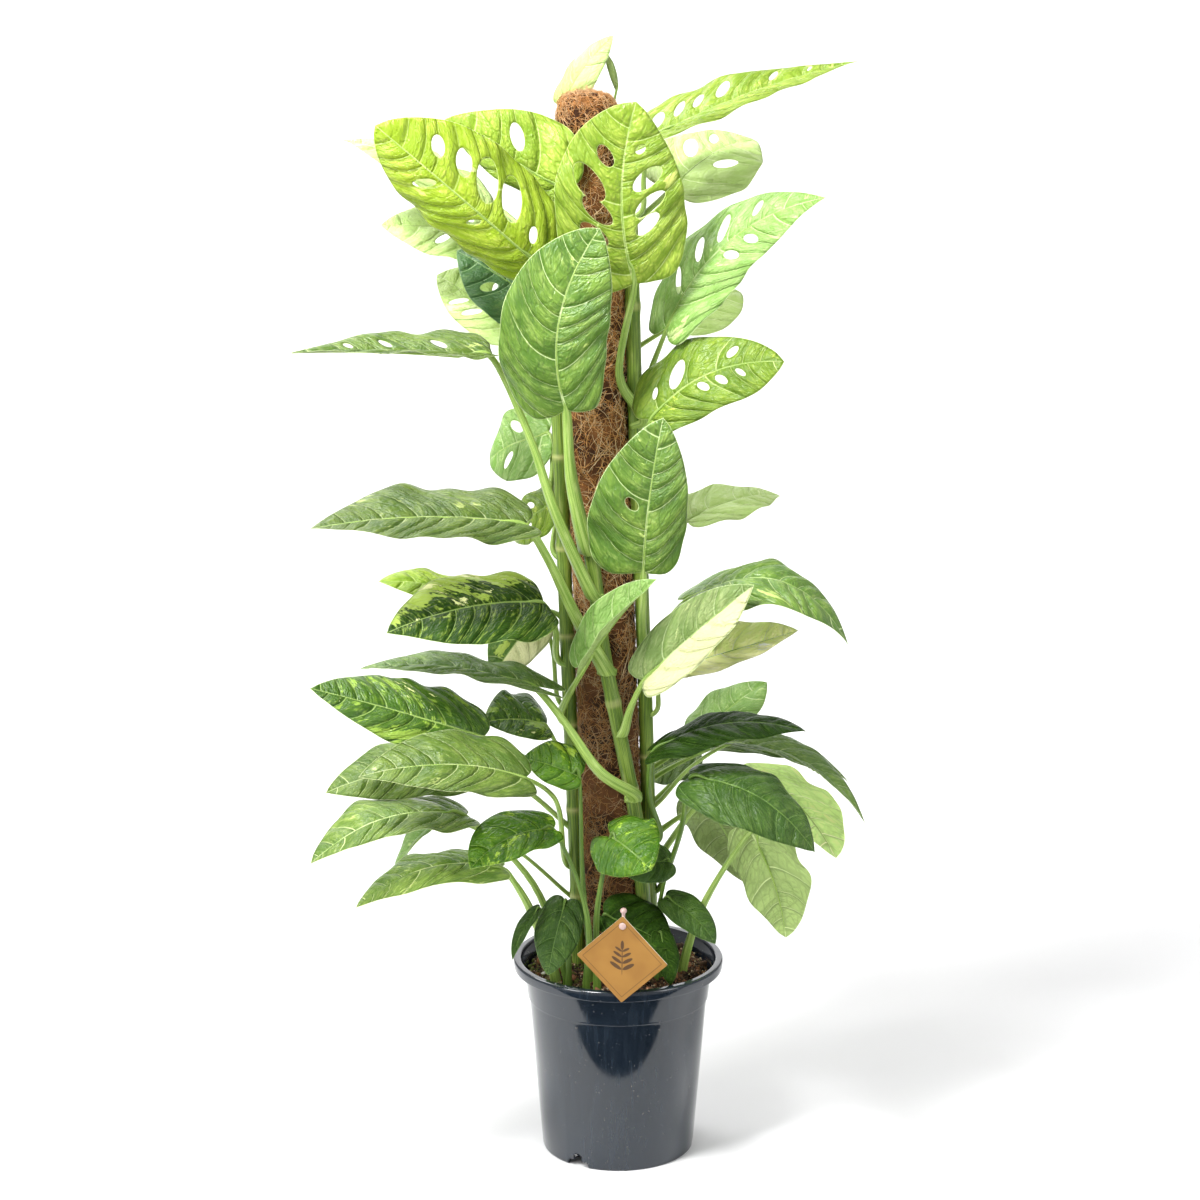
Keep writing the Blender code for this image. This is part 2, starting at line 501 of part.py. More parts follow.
def petiole_path(leaf, blade):
    """From inside the stem or the soil up to the blade, and on under the first stretch of its midrib."""
    if leaf.root[0] == "soil":
        x, y = leaf.root[1] * MM, leaf.root[2] * MM
        start = [np.array([x, y, SOIL_LEVEL - 45 * MM]), np.array([x, y, SOIL_LEVEL + 8 * MM])]
    else:
        centre = stem_point(*leaf.root)
        out = unit((centre - pole_axis(centre[2])) * (1, 1, 0))
        aim = blade.base - centre
        aim[2] = 0.0
        aim = unit(aim) if np.linalg.norm(aim) > 1e-6 else out
        away = unit(out + 0.7 * aim)
        start = [centre, centre + away * 14 * MM + np.array([0.0, 0.0, 12 * MM])]
    middle = [np.array(p) * MM for p in leaf.via]
    if not middle:
        meet = 0.5 * (start[-1] + blade.base)
        middle = [meet - 0.06 * np.linalg.norm(blade.base - start[-1]) * blade.along]
    size = min(1.0, 0.4 + sum(leaf.halves) / 200) * leaf.stalk
    under = -0.85 * size * blade.face * MM
    end = [blade.spine(0.0) + 3.0 * under, blade.spine(0.14) + 1.4 * under]
    path = smooth_path([*start, *middle, *end], 2)
    share = np.linspace(0, 1, len(path))
    radii = size * np.interp(share, (0, 0.25, 0.75, 1), (5.2, 4.2, 3.0, 1.2)) * MM
    radii[0] = min(radii[0], 0.7 * STEM_RADIUS)  # so that its first ring stays inside the stem
    return path, radii


def stalk_resolution(leaf):
    """Petioles of the large leaves have six sides, and those of the small ones four."""
    return int(sum(leaf.halves) > 95)


def leaf_object(leaf, collection, scrap):
    """Blade and petiole joined in one body."""
    obj, blade = blade_object(leaf.name, leaf, collection)
    path, radii = petiole_path(leaf, blade)
    petiole = tube("petiole", path, radii, scrap, resolution=stalk_resolution(leaf))
    boolean(obj, petiole, "UNION")
    applied(obj)
    bpy.data.objects.remove(petiole)
    return obj, path, radii


def make_pot(parts, cutters, material):
    wall, foot = POT_WALL, POT_FOOT_RADIUS
    lip = POT_HEIGHT - POT_LIP_DEPTH
    profile = (
        (0.0, POT_FLOOR), (foot - wall, POT_FLOOR), (POT_BAND_RADIUS - wall, POT_BAND_BOTTOM),
        (POT_NECK_RADIUS - wall, lip - 2 * MM), (POT_MOUTH_RADIUS, POT_HEIGHT - 2.5 * MM),
        (POT_MOUTH_RADIUS + 1.5 * MM, POT_HEIGHT), (POT_RIM_RADIUS - 2 * MM, POT_HEIGHT),
        (POT_RIM_RADIUS, POT_HEIGHT - 2.5 * MM), (POT_RIM_RADIUS - 0.6 * MM, lip),
        (POT_NECK_RADIUS + 1 * MM, lip - 1 * MM), (POT_NECK_RADIUS, lip - 4 * MM),
        (POT_BAND_RADIUS, POT_BAND_BOTTOM + 2 * MM), (POT_BAND_RADIUS - 2 * MM, POT_BAND_BOTTOM),
        (foot, 0.0), (foot - wall - 1 * MM, 0.0), (foot - wall - 1.6 * MM, POT_FLOOR - wall),
        (0.0, POT_FLOOR - wall),
    )
    pot = turned("pot", profile, parts, POT_SIDES)
    pot.data.materials.append(material)
    shapes = (("arch", 27 * MM, 7.5 * MM, 8 * MM), ("drain", 11 * MM, 16 * MM, 14 * MM))
    for index in range(NOTCH_COUNT):
        angle = NOTCH_FIRST_ANGLE + index * 2 * math.pi / NOTCH_COUNT
        for label, width, height, inner in shapes:
            bpy.ops.mesh.primitive_cube_add(size=1.0)
            cutter = bpy.context.object
            cutter.name = f"cut_{label}_{index}"
            for other in cutter.users_collection:
                other.objects.unlink(cutter)
            cutters.objects.link(cutter)
            reach = inner + 8 * MM
            middle = foot - inner / 2 + 4 * MM
            cutter.scale = (reach, width, height + 6 * MM)
            cutter.rotation_euler = (0.0, 0.0, angle)
            cutter.location = (middle * math.cos(angle), middle * math.sin(angle), height / 2 - 3 * MM)
            boolean(pot, make_cutter(cutter), "DIFFERENCE")
    return pot


def make_soil(parts, material):
    """The root ball: it fills the pot to some 13 mm under the rim, with an uneven, crumbly top."""
    wall, foot = POT_WALL, POT_FOOT_RADIUS
    gap = CLEARANCE + 0.3 * MM
    slope = (POT_BAND_RADIUS - foot) / (POT_BAND_BOTTOM - POT_FLOOR)
    neck = (POT_NECK_RADIUS - POT_BAND_RADIUS) / (POT_HEIGHT - POT_LIP_DEPTH - 2 * MM - POT_BAND_BOTTOM)
    top = POT_BAND_RADIUS - wall - gap + neck * (SOIL_LEVEL - 6 * MM - POT_BAND_BOTTOM)
    rings = 5
    surface = [(top * (i / rings), SOIL_LEVEL - 5 * MM * (i / rings) ** 6) for i in range(rings)]
    profile = (
        *surface, (top, SOIL_LEVEL - 6 * MM), (POT_BAND_RADIUS - wall - gap, POT_BAND_BOTTOM),
        (foot - wall - gap + slope * CLEARANCE, POT_FLOOR + CLEARANCE), (0.0, POT_FLOOR + CLEARANCE),
    )
    soil = turned("soil", profile, parts, 20)
    applied(soil)
    clean(soil.data, 5e-5)
    dice = random.Random(7)
    for vertex in soil.data.vertices:
        x, y, z = vertex.co
        radius = math.hypot(x, y)
        if z > SOIL_LEVEL - 4 * MM and radius < top - 4 * MM:
            roll = math.sin(x / (9 * MM)) * math.cos(y / (7 * MM) + 1.3)
            vertex.co.z += SOIL_ROUGHNESS * (0.6 * roll + dice.uniform(-0.5, 0.5))
    soil.data.materials.append(material)
    return soil


def make_pole(parts, cutters, material, core_material):
    """A coir sleeve bound round a round core, which stands on the floor of the pot."""
    length = POLE_TOP - POLE_BOTTOM
    rings = 12
    dome = ((0.0, POLE_TOP), (0.45, POLE_TOP - 1 * MM), (0.8, POLE_TOP - 6 * MM), (0.96, POLE_TOP - 15 * MM))
    side = [(1.0, POLE_TOP - 30 * MM - (length - 30 * MM) * i / rings) for i in range(rings + 1)]
    profile = [(share * POLE_RADIUS, z) for share, z in (*dome, *side)] + [(0.0, POLE_BOTTOM)]
    pole = turned("coir_pole", profile, parts, 16)
    applied(pole)
    clean(pole.data, 5e-5)
    dice = random.Random(3)
    for vertex in pole.data.vertices:
        x, y, z = vertex.co
        radius = math.hypot(x, y)
        if radius > 0.7 * POLE_RADIUS and POLE_TOP - 40 * MM > z > POLE_BOTTOM + 1 * MM:
            roll = 0.018 * math.sin(z / (21 * MM) + 2 * math.atan2(y, x))
            spread = 1.0 + roll + dice.uniform(-0.012, 0.012)
            vertex.co.x, vertex.co.y = x * spread, y * spread
    pole.data.materials.append(material)
    bore = cylinder("cut_bore", CORE_RADIUS + CLEARANCE, POLE_BOTTOM - 5 * MM, CORE_TOP + CLEARANCE, cutters)
    boolean(pole, make_cutter(bore), "DIFFERENCE")
    core = cylinder("pole_core", CORE_RADIUS, POT_FLOOR + 2 * CLEARANCE, CORE_TOP, parts)
    core.data.materials.append(core_material)
    for obj in (pole, bore, core):
        obj.rotation_euler = (0.0, POLE_LEAN, 0.0)
        obj.location = (POLE_FOOT_X, 0.0, 0.0)
    return pole, core


def cylinder(name, radius, bottom, top, collection, sides=16):
    mesh = bpy.data.meshes.new(name)
    work = bmesh.new()
    depth = top - bottom
    bmesh.ops.create_cone(work, cap_ends=True, segments=sides, radius1=radius, radius2=radius, depth=depth)
    bmesh.ops.translate(work, verts=work.verts, vec=(0.0, 0.0, (top + bottom) / 2))
    work.to_mesh(mesh)
    work.free()
    return new_object(name, mesh, collection)


def stem_shape(name, extra=0.0):
    """A vine's path and radii, with a slightly thicker ring at every node."""
    heights, _ = zip(*STEMS[name])
    count = int((heights[-1] - heights[0]) / 34)
    levels = np.linspace(heights[0], heights[-1], count)
    path = [stem_point(name, level) for level in levels]
    ring = 3
    radii = [STEM_RADIUS * (1.12 if i % ring == 1 else 1.0) * (0.75 if i > count - 3 else 1.0) + extra
             for i in range(count)]
    return np.array(path), np.array(radii)


def make_tag(parts, cutters, material, pick_material):
    """A square card hung by one corner on a plastic pick, in front of the rim of the pot."""
    bpy.ops.mesh.primitive_cube_add(size=1.0)
    tag = bpy.context.object
    tag.name = "tag"
    for other in tag.users_collection:
        other.objects.unlink(tag)
    parts.objects.link(tag)
    tag.data.transform(Matrix.Diagonal((TAG_SIDE, TAG_THICKNESS, TAG_SIDE, 1.0)))
    tag.data.materials.append(material)
    diagonal = TAG_SIDE * math.sqrt(2)
    turns = Euler((TAG_FORWARD, TAG_ROLL, -TAG_TURN), "YXZ").to_matrix()
    up = np.array(turns @ Vector((0.0, 0.0, 1.0)))
    front = np.array(turns @ Vector((0.0, -1.0, 0.0)))
    bottom = np.array(TAG_BOTTOM)
    tag.rotation_mode = "YXZ"
    tag.rotation_euler = (TAG_FORWARD, math.radians(45) + TAG_ROLL, -TAG_TURN)
    tag.location = bottom + up * diagonal / 2
    hole_at = bottom + up * (diagonal - TAG_HOLE_INSET)
    hole = tube("cut_tag_hole", [hole_at - 8 * MM * front, hole_at + 8 * MM * front],
                [TAG_HOLE_RADIUS + CLEARANCE] * 2, cutters, 2)
    boolean(tag, make_cutter(hole), "DIFFERENCE")
    back = hole_at - front * (TAG_THICKNESS / 2 + CLEARANCE + PICK_RADIUS)
    shaft_top = back + up * (TAG_HOLE_INSET + 3 * MM)
    shaft_foot = np.array([back[0], -88 * MM, SOIL_LEVEL - 45 * MM])
    path = [shaft_foot, back, shaft_top]
    pick = tube("tag_pick", path, [PICK_RADIUS * 0.8, PICK_RADIUS, PICK_RADIUS], parts, 2)
    head_back = hole_at + front * (TAG_THICKNESS / 2 + CLEARANCE)
    peg = tube("peg", [back, head_back + front * 1 * MM], [TAG_HOLE_RADIUS * 0.85] * 2, parts, 2)
    head = tube("head", [head_back, head_back + front * 1.4 * MM], [4.2 * MM, 3.4 * MM], parts, 2)
    knob = tube("knob", [shaft_top - up * 1 * MM, shaft_top + up * 2 * MM, shaft_top + up * 5 * MM],
                [3 * MM, 4.4 * MM, 2.4 * MM], parts, 2)
    for extra in (peg, head, knob):
        boolean(pick, extra, "UNION")
        applied(pick)
        bpy.data.objects.remove(extra)
    pick.data.materials.clear()
    pick.data.materials.append(pick_material)
    return tag, pick, path


def in_soil(path, radii):
    """The buried stretch of a stem with the clearance round it, up to just above the soil."""
    keep = int(np.argmax(path[:, 2] > SOIL_LEVEL + 6 * MM)) + 1
    buried = path[:keep].copy()
    buried[0] -= CLEARANCE * unit(path[1] - path[0])
    return buried, radii[:keep] + CLEARANCE


def main():
    clear_scene()
    parts = new_collection("potted_monstera_obliqua")
    cutters = new_collection("cutters")
    scrap = new_collection("scrap")
    plastic = new_material("pot_plastic", (0.035, 0.045, 0.055), 0.3)
    compost = new_material("compost", (0.05, 0.03, 0.02), 0.95)
    coir = new_material("coir", (0.22, 0.10, 0.05), 0.95)
    wood = new_material("core_wood", (0.45, 0.33, 0.2), 0.7)
    vine = new_material("vine_green", (0.16, 0.30, 0.06), 0.45)
    green = new_material("leaf_green", (0.10, 0.28, 0.04), 0.4)
    kraft = new_material("kraft_card", (0.45, 0.27, 0.09), 0.6)
    nylon = new_material("pick_plastic", (0.8, 0.66, 0.62), 0.4)

    make_pot(parts, cutters, plastic)
    soil = make_soil(parts, compost)
    pole, core = make_pole(parts, cutters, coir, wood)
    tag, pick, pick_path = make_tag(parts, cutters, kraft, nylon)

    holes = []
    for label, radius, bottom, top in (
        ("cut_pole", POLE_RADIUS * 1.03 + CLEARANCE, POLE_BOTTOM - CLEARANCE, SOIL_LEVEL + 40 * MM),
        ("cut_core", CORE_RADIUS + CLEARANCE, POT_FLOOR - 5 * MM, POLE_BOTTOM + 5 * MM),
    ):
        cutter = cylinder(label, radius, bottom, top, cutters)
        cutter.rotation_euler = (0.0, POLE_LEAN, 0.0)
        cutter.location = (POLE_FOOT_X, 0.0, 0.0)
        holes.append(make_cutter(cutter))

    stem_cutters = {}
    for name in STEMS:
        path, radii = stem_shape(name)
        stem = tube(name, path, radii, parts)
        stem.data.materials.append(vine)
        buried, wide = in_soil(path, radii)
        holes.append(make_cutter(tube(f"cut_soil_{name}", buried, wide, cutters)))
        stem_cutters[name] = tube(f"cut_{name}", path, radii + CLEARANCE, scrap)

    nodes = {}
    for leaf in LEAVES:
        obj, path, radii = leaf_object(leaf, parts, scrap)
        if leaf.root[0] == "soil":
            buried, wide = in_soil(path, radii)
            hole = tube(f"cut_soil_{obj.name}", buried, wide, cutters, stalk_resolution(leaf))
            holes.append(make_cutter(hole))
        if leaf.name in nodes:
            boolean(nodes[leaf.name], obj, "UNION")
            applied(nodes[leaf.name])
            bpy.data.objects.remove(obj)
            obj = nodes[leaf.name]
        nodes[leaf.name] = obj
        if leaf.root[0] != "soil":
            boolean(obj, stem_cutters[leaf.root[0]], "DIFFERENCE")
            applied(obj)
        obj.data.materials.clear()
        obj.data.materials.append(green)
    for cutter in stem_cutters.values():
        bpy.data.objects.remove(cutter)
    bpy.data.collections.remove(scrap)

    buried = [pick_path[0] - np.array([0.0, 0.0, CLEARANCE]), pick_path[1]]
    wide = [PICK_RADIUS * 0.8 + CLEARANCE, PICK_RADIUS + CLEARANCE]
    holes.append(make_cutter(tube("cut_soil_pick", buried, wide, cutters, 2)))
    for cutter in holes:
        boolean(soil, cutter, "DIFFERENCE")

    root = bpy.data.objects.new("plant_root", None)
    parts.objects.link(root)
    root.location = PLANT_OFFSET
    for obj in (*parts.objects, *cutters.objects):
        if obj is not root:
            obj.parent = root


main()
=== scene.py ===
# %% [markdown]
# A potted climber with marbled, holey leaves: a nursery pot of compost, a coir pole, four vines that climb
# it, some fifty leaves, and a square tag that hangs on a pick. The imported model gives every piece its
# place. Its solids are coarse, so this lesson builds each leaf, stem and clod again with fine detail.

# %% Load the frame
import math
from collections import namedtuple

import bmesh
import bpy
import numpy as np
from mathutils import Euler, Matrix, Vector, noise
from mathutils.geometry import delaunay_2d_cdt


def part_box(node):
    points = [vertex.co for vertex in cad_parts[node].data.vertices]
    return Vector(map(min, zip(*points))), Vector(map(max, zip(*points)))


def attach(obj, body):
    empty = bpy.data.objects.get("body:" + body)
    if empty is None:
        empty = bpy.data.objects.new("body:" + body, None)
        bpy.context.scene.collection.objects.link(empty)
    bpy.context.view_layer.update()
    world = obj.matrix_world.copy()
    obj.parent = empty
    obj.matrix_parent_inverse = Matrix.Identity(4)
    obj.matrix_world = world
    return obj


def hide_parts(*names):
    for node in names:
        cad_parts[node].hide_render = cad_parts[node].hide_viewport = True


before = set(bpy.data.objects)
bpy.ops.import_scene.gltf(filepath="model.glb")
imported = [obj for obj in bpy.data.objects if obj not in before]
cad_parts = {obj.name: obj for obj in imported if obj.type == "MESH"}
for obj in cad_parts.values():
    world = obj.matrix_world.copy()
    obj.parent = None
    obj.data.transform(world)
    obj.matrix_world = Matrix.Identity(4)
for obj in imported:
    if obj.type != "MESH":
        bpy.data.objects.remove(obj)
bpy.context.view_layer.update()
MM = 0.001

# %% [markdown]
# The plant is laid out round the axis of the pot, as in the part's own source, and the whole is then
# shifted so that the middle of its box is at the origin. The axis follows from the pot's own box. The
# camera stands 3.2 m off and 1.4 m up with a long lens, so the pot shows a little of its soil. It is made
# first, because every later choice is judged through it.

# %% Camera
pot_low, pot_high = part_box("pot")
AXIS = np.array([(pot_low[0] + pot_high[0]) / 2, (pot_low[1] + pot_high[1]) / 2, 0.0])
POT_RIM_RADIUS = (pot_high[0] - pot_low[0]) / 2
CAMERA_PLACE = (-0.0208, -3.2086, 1.4137)
CAMERA_PITCH = math.radians(13.45)
SENSOR_MM = 36.0
LENS_MM = 88.9


def make_camera():
    data = bpy.data.cameras.new("camera")
    data.sensor_width = SENSOR_MM
    data.lens = LENS_MM
    data.dof.use_dof = False
    camera = bpy.data.objects.new("camera", data)
    camera.location = AXIS + CAMERA_PLACE
    camera.rotation_euler = (math.pi / 2 - CAMERA_PITCH, 0.0, 0.0)
    bpy.context.scene.collection.objects.link(camera)
    bpy.context.scene.camera = camera


make_camera()
print("pot axis:", AXIS.round(4), "rim radius:", round(POT_RIM_RADIUS, 4))

# %% [markdown]
# Every finish is built from shader nodes. A few helpers keep that readable. One adds a node and gives its
# output, and outputs can be reckoned with like numbers: each sign between them adds a Math node. An input
# may be a number, a colour or such an output.

# %% Node helpers
class Value:
    """A node's output. Between outputs and numbers + - * / and abs() each add a Math node."""

    def __init__(self, socket):
        self.socket = socket
        self.tree = socket.id_data

    def math(self, operation, *others):
        return add(self.tree, "ShaderNodeMath", dict(enumerate((self, *others))), operation=operation)

    def __add__(self, other):
        return self.math("ADD", other)

    def __sub__(self, other):
        return self.math("SUBTRACT", other)

    def __rsub__(self, other):
        return self.math("MULTIPLY_ADD", -1.0, other)

    def __mul__(self, other):
        return self.math("MULTIPLY", other)

    def __truediv__(self, other):
        return self.math("DIVIDE", other)

    def __abs__(self):
        return self.math("ABSOLUTE")


def feed(node, inputs):
    """Sets or links a node's inputs, given by name or number."""
    for key, value in inputs.items():
        socket = node.inputs[key]
        if isinstance(value, Value):
            node.id_data.links.new(value.socket, socket)
        elif socket.type == "RGBA" and len(value) == 3:
            socket.default_value = (*value, 1.0)
        else:
            socket.default_value = value


def add(tree, kind, inputs=None, output=0, **settings):
    """Adds a node and gives one of its outputs."""
    node = tree.nodes.new(kind)
    for key, value in settings.items():
        setattr(node, key, value)
    feed(node, inputs or {})
    return Value(node.outputs[output])


def attribute(tree, name, output="Vector"):
    return add(tree, "ShaderNodeAttribute", output=output, attribute_name=name)


def position(tree):
    return add(tree, "ShaderNodeTexCoord", output="Object")


def split(vector):
    """The three parts of a vector."""
    first = add(vector.tree, "ShaderNodeSeparateXYZ", {0: vector})
    return [Value(socket) for socket in first.socket.node.outputs]


def stretch(vector, factors):
    return add(vector.tree, "ShaderNodeVectorMath", {0: vector, 1: factors}, operation="MULTIPLY")


def blend(share, first, second):
    return add(share.tree, "ShaderNodeMix", {0: share, 6: first, 7: second}, 2, data_type="RGBA")


def ramp(value, low, high):
    """0 at low and 1 at high, with a soft rise between."""
    return add(value.tree, "ShaderNodeMapRange", {0: value, 1: low, 2: high}, interpolation_type="SMOOTHSTEP")


def cloud(vector, scale, detail=3.0, roughness=0.55):
    sockets = {"Vector": vector, "Scale": scale, "Detail": detail, "Roughness": roughness}
    return add(vector.tree, "ShaderNodeTexNoise", sockets, "Fac")


def bump(height, distance, strength=1.0):
    return add(height.tree, "ShaderNodeBump", {"Height": height, "Distance": distance, "Strength": strength})


def srgb(red, green, blue):
    """A colour given in screen values from 0 to 255, as the linear values that a shader wants."""
    values = (red / 255, green / 255, blue / 255)
    return tuple(v / 12.92 if v <= 0.04045 else ((v + 0.055) / 1.055) ** 2.4 for v in values)


def darker(colour, share):
    return [part * share for part in colour]


def new_finish(name, roughness, **sockets):
    """A material with its Principled shader. Values that are the same all over are set on its sockets."""
    material = bpy.data.materials.new(name)
    material.use_nodes = True
    shader = material.node_tree.nodes["Principled BSDF"]
    feed(shader, {"Roughness": roughness, **{label.replace("_", " "): v for label, v in sockets.items()}})
    return material, material.node_tree, shader


def new_group(name, inputs, outputs):
    """A node group with named sockets: its tree, its inputs as outputs to use, and its last node."""
    tree = bpy.data.node_groups.new(name, "ShaderNodeTree")
    sides = [("INPUT", label) for label in inputs] + [("OUTPUT", label) for label in outputs]
    for side, label in sides:
        socket = tree.interface.new_socket(label, in_out=side, socket_type="NodeSocketFloat")
        socket.default_value = inputs.get(label, 0.0)
    given = tree.nodes.new("NodeGroupInput")
    return tree, {s.name: Value(s) for s in given.outputs if s.name}, tree.nodes.new("NodeGroupOutput")


def use_group(tree, group, **inputs):
    """Places a node group in a material and gives its outputs by name."""
    node = tree.nodes.new("ShaderNodeGroup")
    node.node_tree = group
    feed(node, inputs)
    return {socket.name: Value(socket) for socket in node.outputs}


print("helpers ready")

# %% [markdown]
# A studio shot on white: the floor runs up into the wall in one soft curve, so no horizon shows. A floor
# of its own mesh is enough for that. A bright, even world fills the shadows, as white walls would, and
# large area lamps left and right draw the long pale reflections on the pot. The white table of such a
# studio ends a hand's width before the pot, and the pot's gloss shows the dark room beyond it. So the
# front half of the floor is left out of reflections, where the world's dark underside shows instead.

# %% Floor and light
FLOOR_HALF = 2.1
FLOOR_FRONT = -1.7
FLOOR_WHITE = (0.87, 0.87, 0.875)
TABLE_EDGE = AXIS[1] - 0.265
SWEEP_START = 3.4
SWEEP_RADIUS = 1.2
SWEEP_STEPS = 16
WALL_TOP = 4.5
WORLD_STRENGTH = 0.54
# The world is dark below the first height of a direction, and bright above the second
DARK_BELOW = (-0.42, -0.36)
# Each lamp: its name, place, what it is aimed at, its width and height, and its power in watts
LAMPS = (
    ("softbox_left", (-1.9, -1.5, 1.5), (0.0, 0.0, 0.6), (0.8, 2.0), 40),
    ("softbox_right", (1.9, -1.3, 1.2), (0.0, 0.0, 0.6), (0.8, 2.0), 18),
    ("key", (-0.9, -1.0, 2.7), (0.0, 0.0, 0.7), (0.6, 0.6), 82),
    ("back_left", (-1.0, 1.3, 2.3), (0.0, 0.0, 0.9), (1.0, 1.0), 26),
    ("backdrop", (0.0, 1.7, 3.0), (0.0, 4.6, 1.9), (3.0, 0.6), 150),
)


def new_object(name, data):
    obj = bpy.data.objects.new(name, data)
    bpy.context.scene.collection.objects.link(obj)
    return obj


def sheet_of(name, profile, material):
    """A flat or curved sheet, as wide as the floor, through the (y, z) points of its profile."""
    points = [(x, y, z) for y, z in profile for x in (-FLOOR_HALF, FLOOR_HALF)]
    faces = [(2 * i, 2 * i + 1, 2 * i + 3, 2 * i + 2) for i in range(len(profile) - 1)]
    mesh = bpy.data.meshes.new(name)
    mesh.from_pydata(points, [], faces)
    mesh.shade_smooth()
    mesh.materials.append(material)
    sheet = new_object(name, mesh)
    return sheet


def make_floor():
    material = new_finish("studio_floor", 0.7, Base_Color=FLOOR_WHITE)[0]
    turns = [math.pi / 2 * step / SWEEP_STEPS for step in range(SWEEP_STEPS + 1)]
    sweep = [(SWEEP_START + SWEEP_RADIUS * math.sin(t), SWEEP_RADIUS * (1 - math.cos(t))) for t in turns]
    sheet_of("floor", [(TABLE_EDGE, 0.0), *sweep, (SWEEP_START + SWEEP_RADIUS, WALL_TOP)], material)
    front = sheet_of("floor_front", [(FLOOR_FRONT, 0.0), (TABLE_EDGE, 0.0)], material)
    front.visible_glossy = False


def make_world():
    world = bpy.data.worlds.new("white_room")
    world.use_nodes = True
    tree = world.node_tree
    upward = split(add(tree, "ShaderNodeTexCoord", output="Generated"))[2]
    seen = add(tree, "ShaderNodeLightPath", output="Is Camera Ray")
    feed(tree.nodes["Background"], {
        "Color": add(tree, "ShaderNodeMapRange", {0: upward, 1: DARK_BELOW[0], 2: DARK_BELOW[1]}),
        "Strength": add(tree, "ShaderNodeMapRange", {0: seen, 3: WORLD_STRENGTH, 4: 1.0}),
    })
    bpy.context.scene.world = world
    bpy.context.scene.view_settings.view_transform = "Standard"


def make_lamp(name, place, aim, size, power):
    data = bpy.data.lights.new(name, "AREA")
    data.shape = "RECTANGLE"
    data.size, data.size_y = size
    data.energy = power
    lamp = new_object(name, data)
    lamp.location = place
    lamp.rotation_euler = (Vector(aim) - Vector(place)).to_track_quat("-Z", "Y").to_euler()


make_floor()
make_world()
for lamp_facts in LAMPS:
    make_lamp(*lamp_facts)
print("lamps:", len(LAMPS))

# %% [markdown]
# Two effects serve every leaf finish, so each is a node group, built once and placed with its own values.
# The first draws the side veins of a leaf from its own coordinates: how far along the blade a point is,
# and how far out. The second gives the streaks and blotches of marbling, which follow the veins.

# %% Groups: side veins and marbling
# How far a side vein runs forward at the edge, straight and curved, as shares of the blade's length
VEIN_LEAN = 0.05
VEIN_CURVE = 0.25
# The veins of the two halves stand apart by half a space, and their spaces vary in a slow beat
VEIN_SHIFT = 0.25
VEIN_BEAT = 1.9
VEIN_SWAY = 0.24


def side_vein_group():
    """Lines of the side veins, the valley beside each, the swell between, and a count along them."""
    inputs = {"Along": 0.0, "Across": 0.0, "Count": 8.0, "Seed": 0.0}
    tree, given, result = new_group("side_veins", inputs, ("Vein", "Valley", "Swell", "Run"))
    out = abs(given["Across"])
    start = given["Along"] - (out * out * VEIN_CURVE + out * VEIN_LEAN)
    even = start * given["Count"] + given["Across"].math("SIGN") * VEIN_SHIFT
    run = (even * VEIN_BEAT + given["Seed"]).math("SINE") * VEIN_SWAY + even
    phase = run.math("FRACT")
    away = abs(phase - 0.5) * 2.0
    feed(result, {
        "Vein": ramp(away, 0.955, 0.99),
        "Valley": ramp(phase, 0.008, 0.03) * ramp(phase, 0.16, 0.04),
        "Swell": 1.0 - away.math("POWER", 3.0),
        "Run": run,
    })
    return tree


def marbling_group():
    """Blotches drawn out along the side veins, regions rich in them, streaks, and the net of small veins."""
    inputs = {"Run": 0.0, "Across": 0.0, "Seed": 0.0}
    tree, given, result = new_group("marbling", inputs, ("Blotch", "Region", "Streak", "Net", "Fine Net"))

    def spot(along, across):
        parts = {"X": given["Run"] * along, "Y": given["Across"] * across, "Z": given["Seed"]}
        return add(tree, "ShaderNodeCombineXYZ", parts)

    def net(fine, low, high):
        cells = add(tree, "ShaderNodeTexVoronoi", {"Vector": spot(2.6 * fine, 5.5 * fine), "Scale": 1.0},
                    "Distance", feature="DISTANCE_TO_EDGE")
        return 1.0 - ramp(cells, low, high)

    feed(result, {
        "Blotch": cloud(spot(1.0, 2.0), 1.1, 5.0, 0.66),
        "Region": cloud(spot(0.3, 0.9), 1.0, 1.0, 0.5),
        "Streak": cloud(spot(1.0, 0.7), 6.5, 3.0, 0.65),
        "Net": net(1.0, 0.03, 0.15),
        "Fine Net": net(2.6, 0.05, 0.30),
    })
    return tree


SIDE_VEINS = side_vein_group()
MARBLING = marbling_group()
print("groups:", [group.name for group in bpy.data.node_groups])

# %% [markdown]
# A leaf is described by a few facts that one could measure on the plant: where its blade begins and ends,
# how wide each half is, which way the upper side looks, and how it arches, folds and rolls. The same facts
# stand in the part's source, so each fine leaf lies where its solid is.

# %% The leaves
# One leaf. Lengths are in millimetres from the pot's axis at the floor. sort is its finish, and light says
# how much lighter or darker than that sort it is: partly the leaf's own tone, and partly painted light that
# brightens leaves lying in shade.
# root is (stem, height) or, for a shoot of its own, ("soil", x, y). halves are the widths of the left and
# right half, seen from the upper side with the tip up. face is where the upper side looks.
# Shares of the blade's length: arch lifts the middle of the midrib, nod bends the tip down, sway bends it
# to the right. fold lifts both halves into a V and cup rolls their edges back, both in degrees. belly moves
# the widest place towards the tip, and may be a pair (left, right) as fold and cup may. point sharpens the
# tip, and lobe draws the base out behind the petiole. stalk is the thickness of the petiole.
Leaf = namedtuple(
    "Leaf",
    "name sort root base tip halves face via arch nod sway twist fold cup wave "
    "lobe belly point stalk holes light",
    defaults=((), 0.05, 0.0, 0.0, 0.0, 6.0, 22.0, 0.05, 1.0, 0.0, 0.2, 1.0, (), 1.0),
)

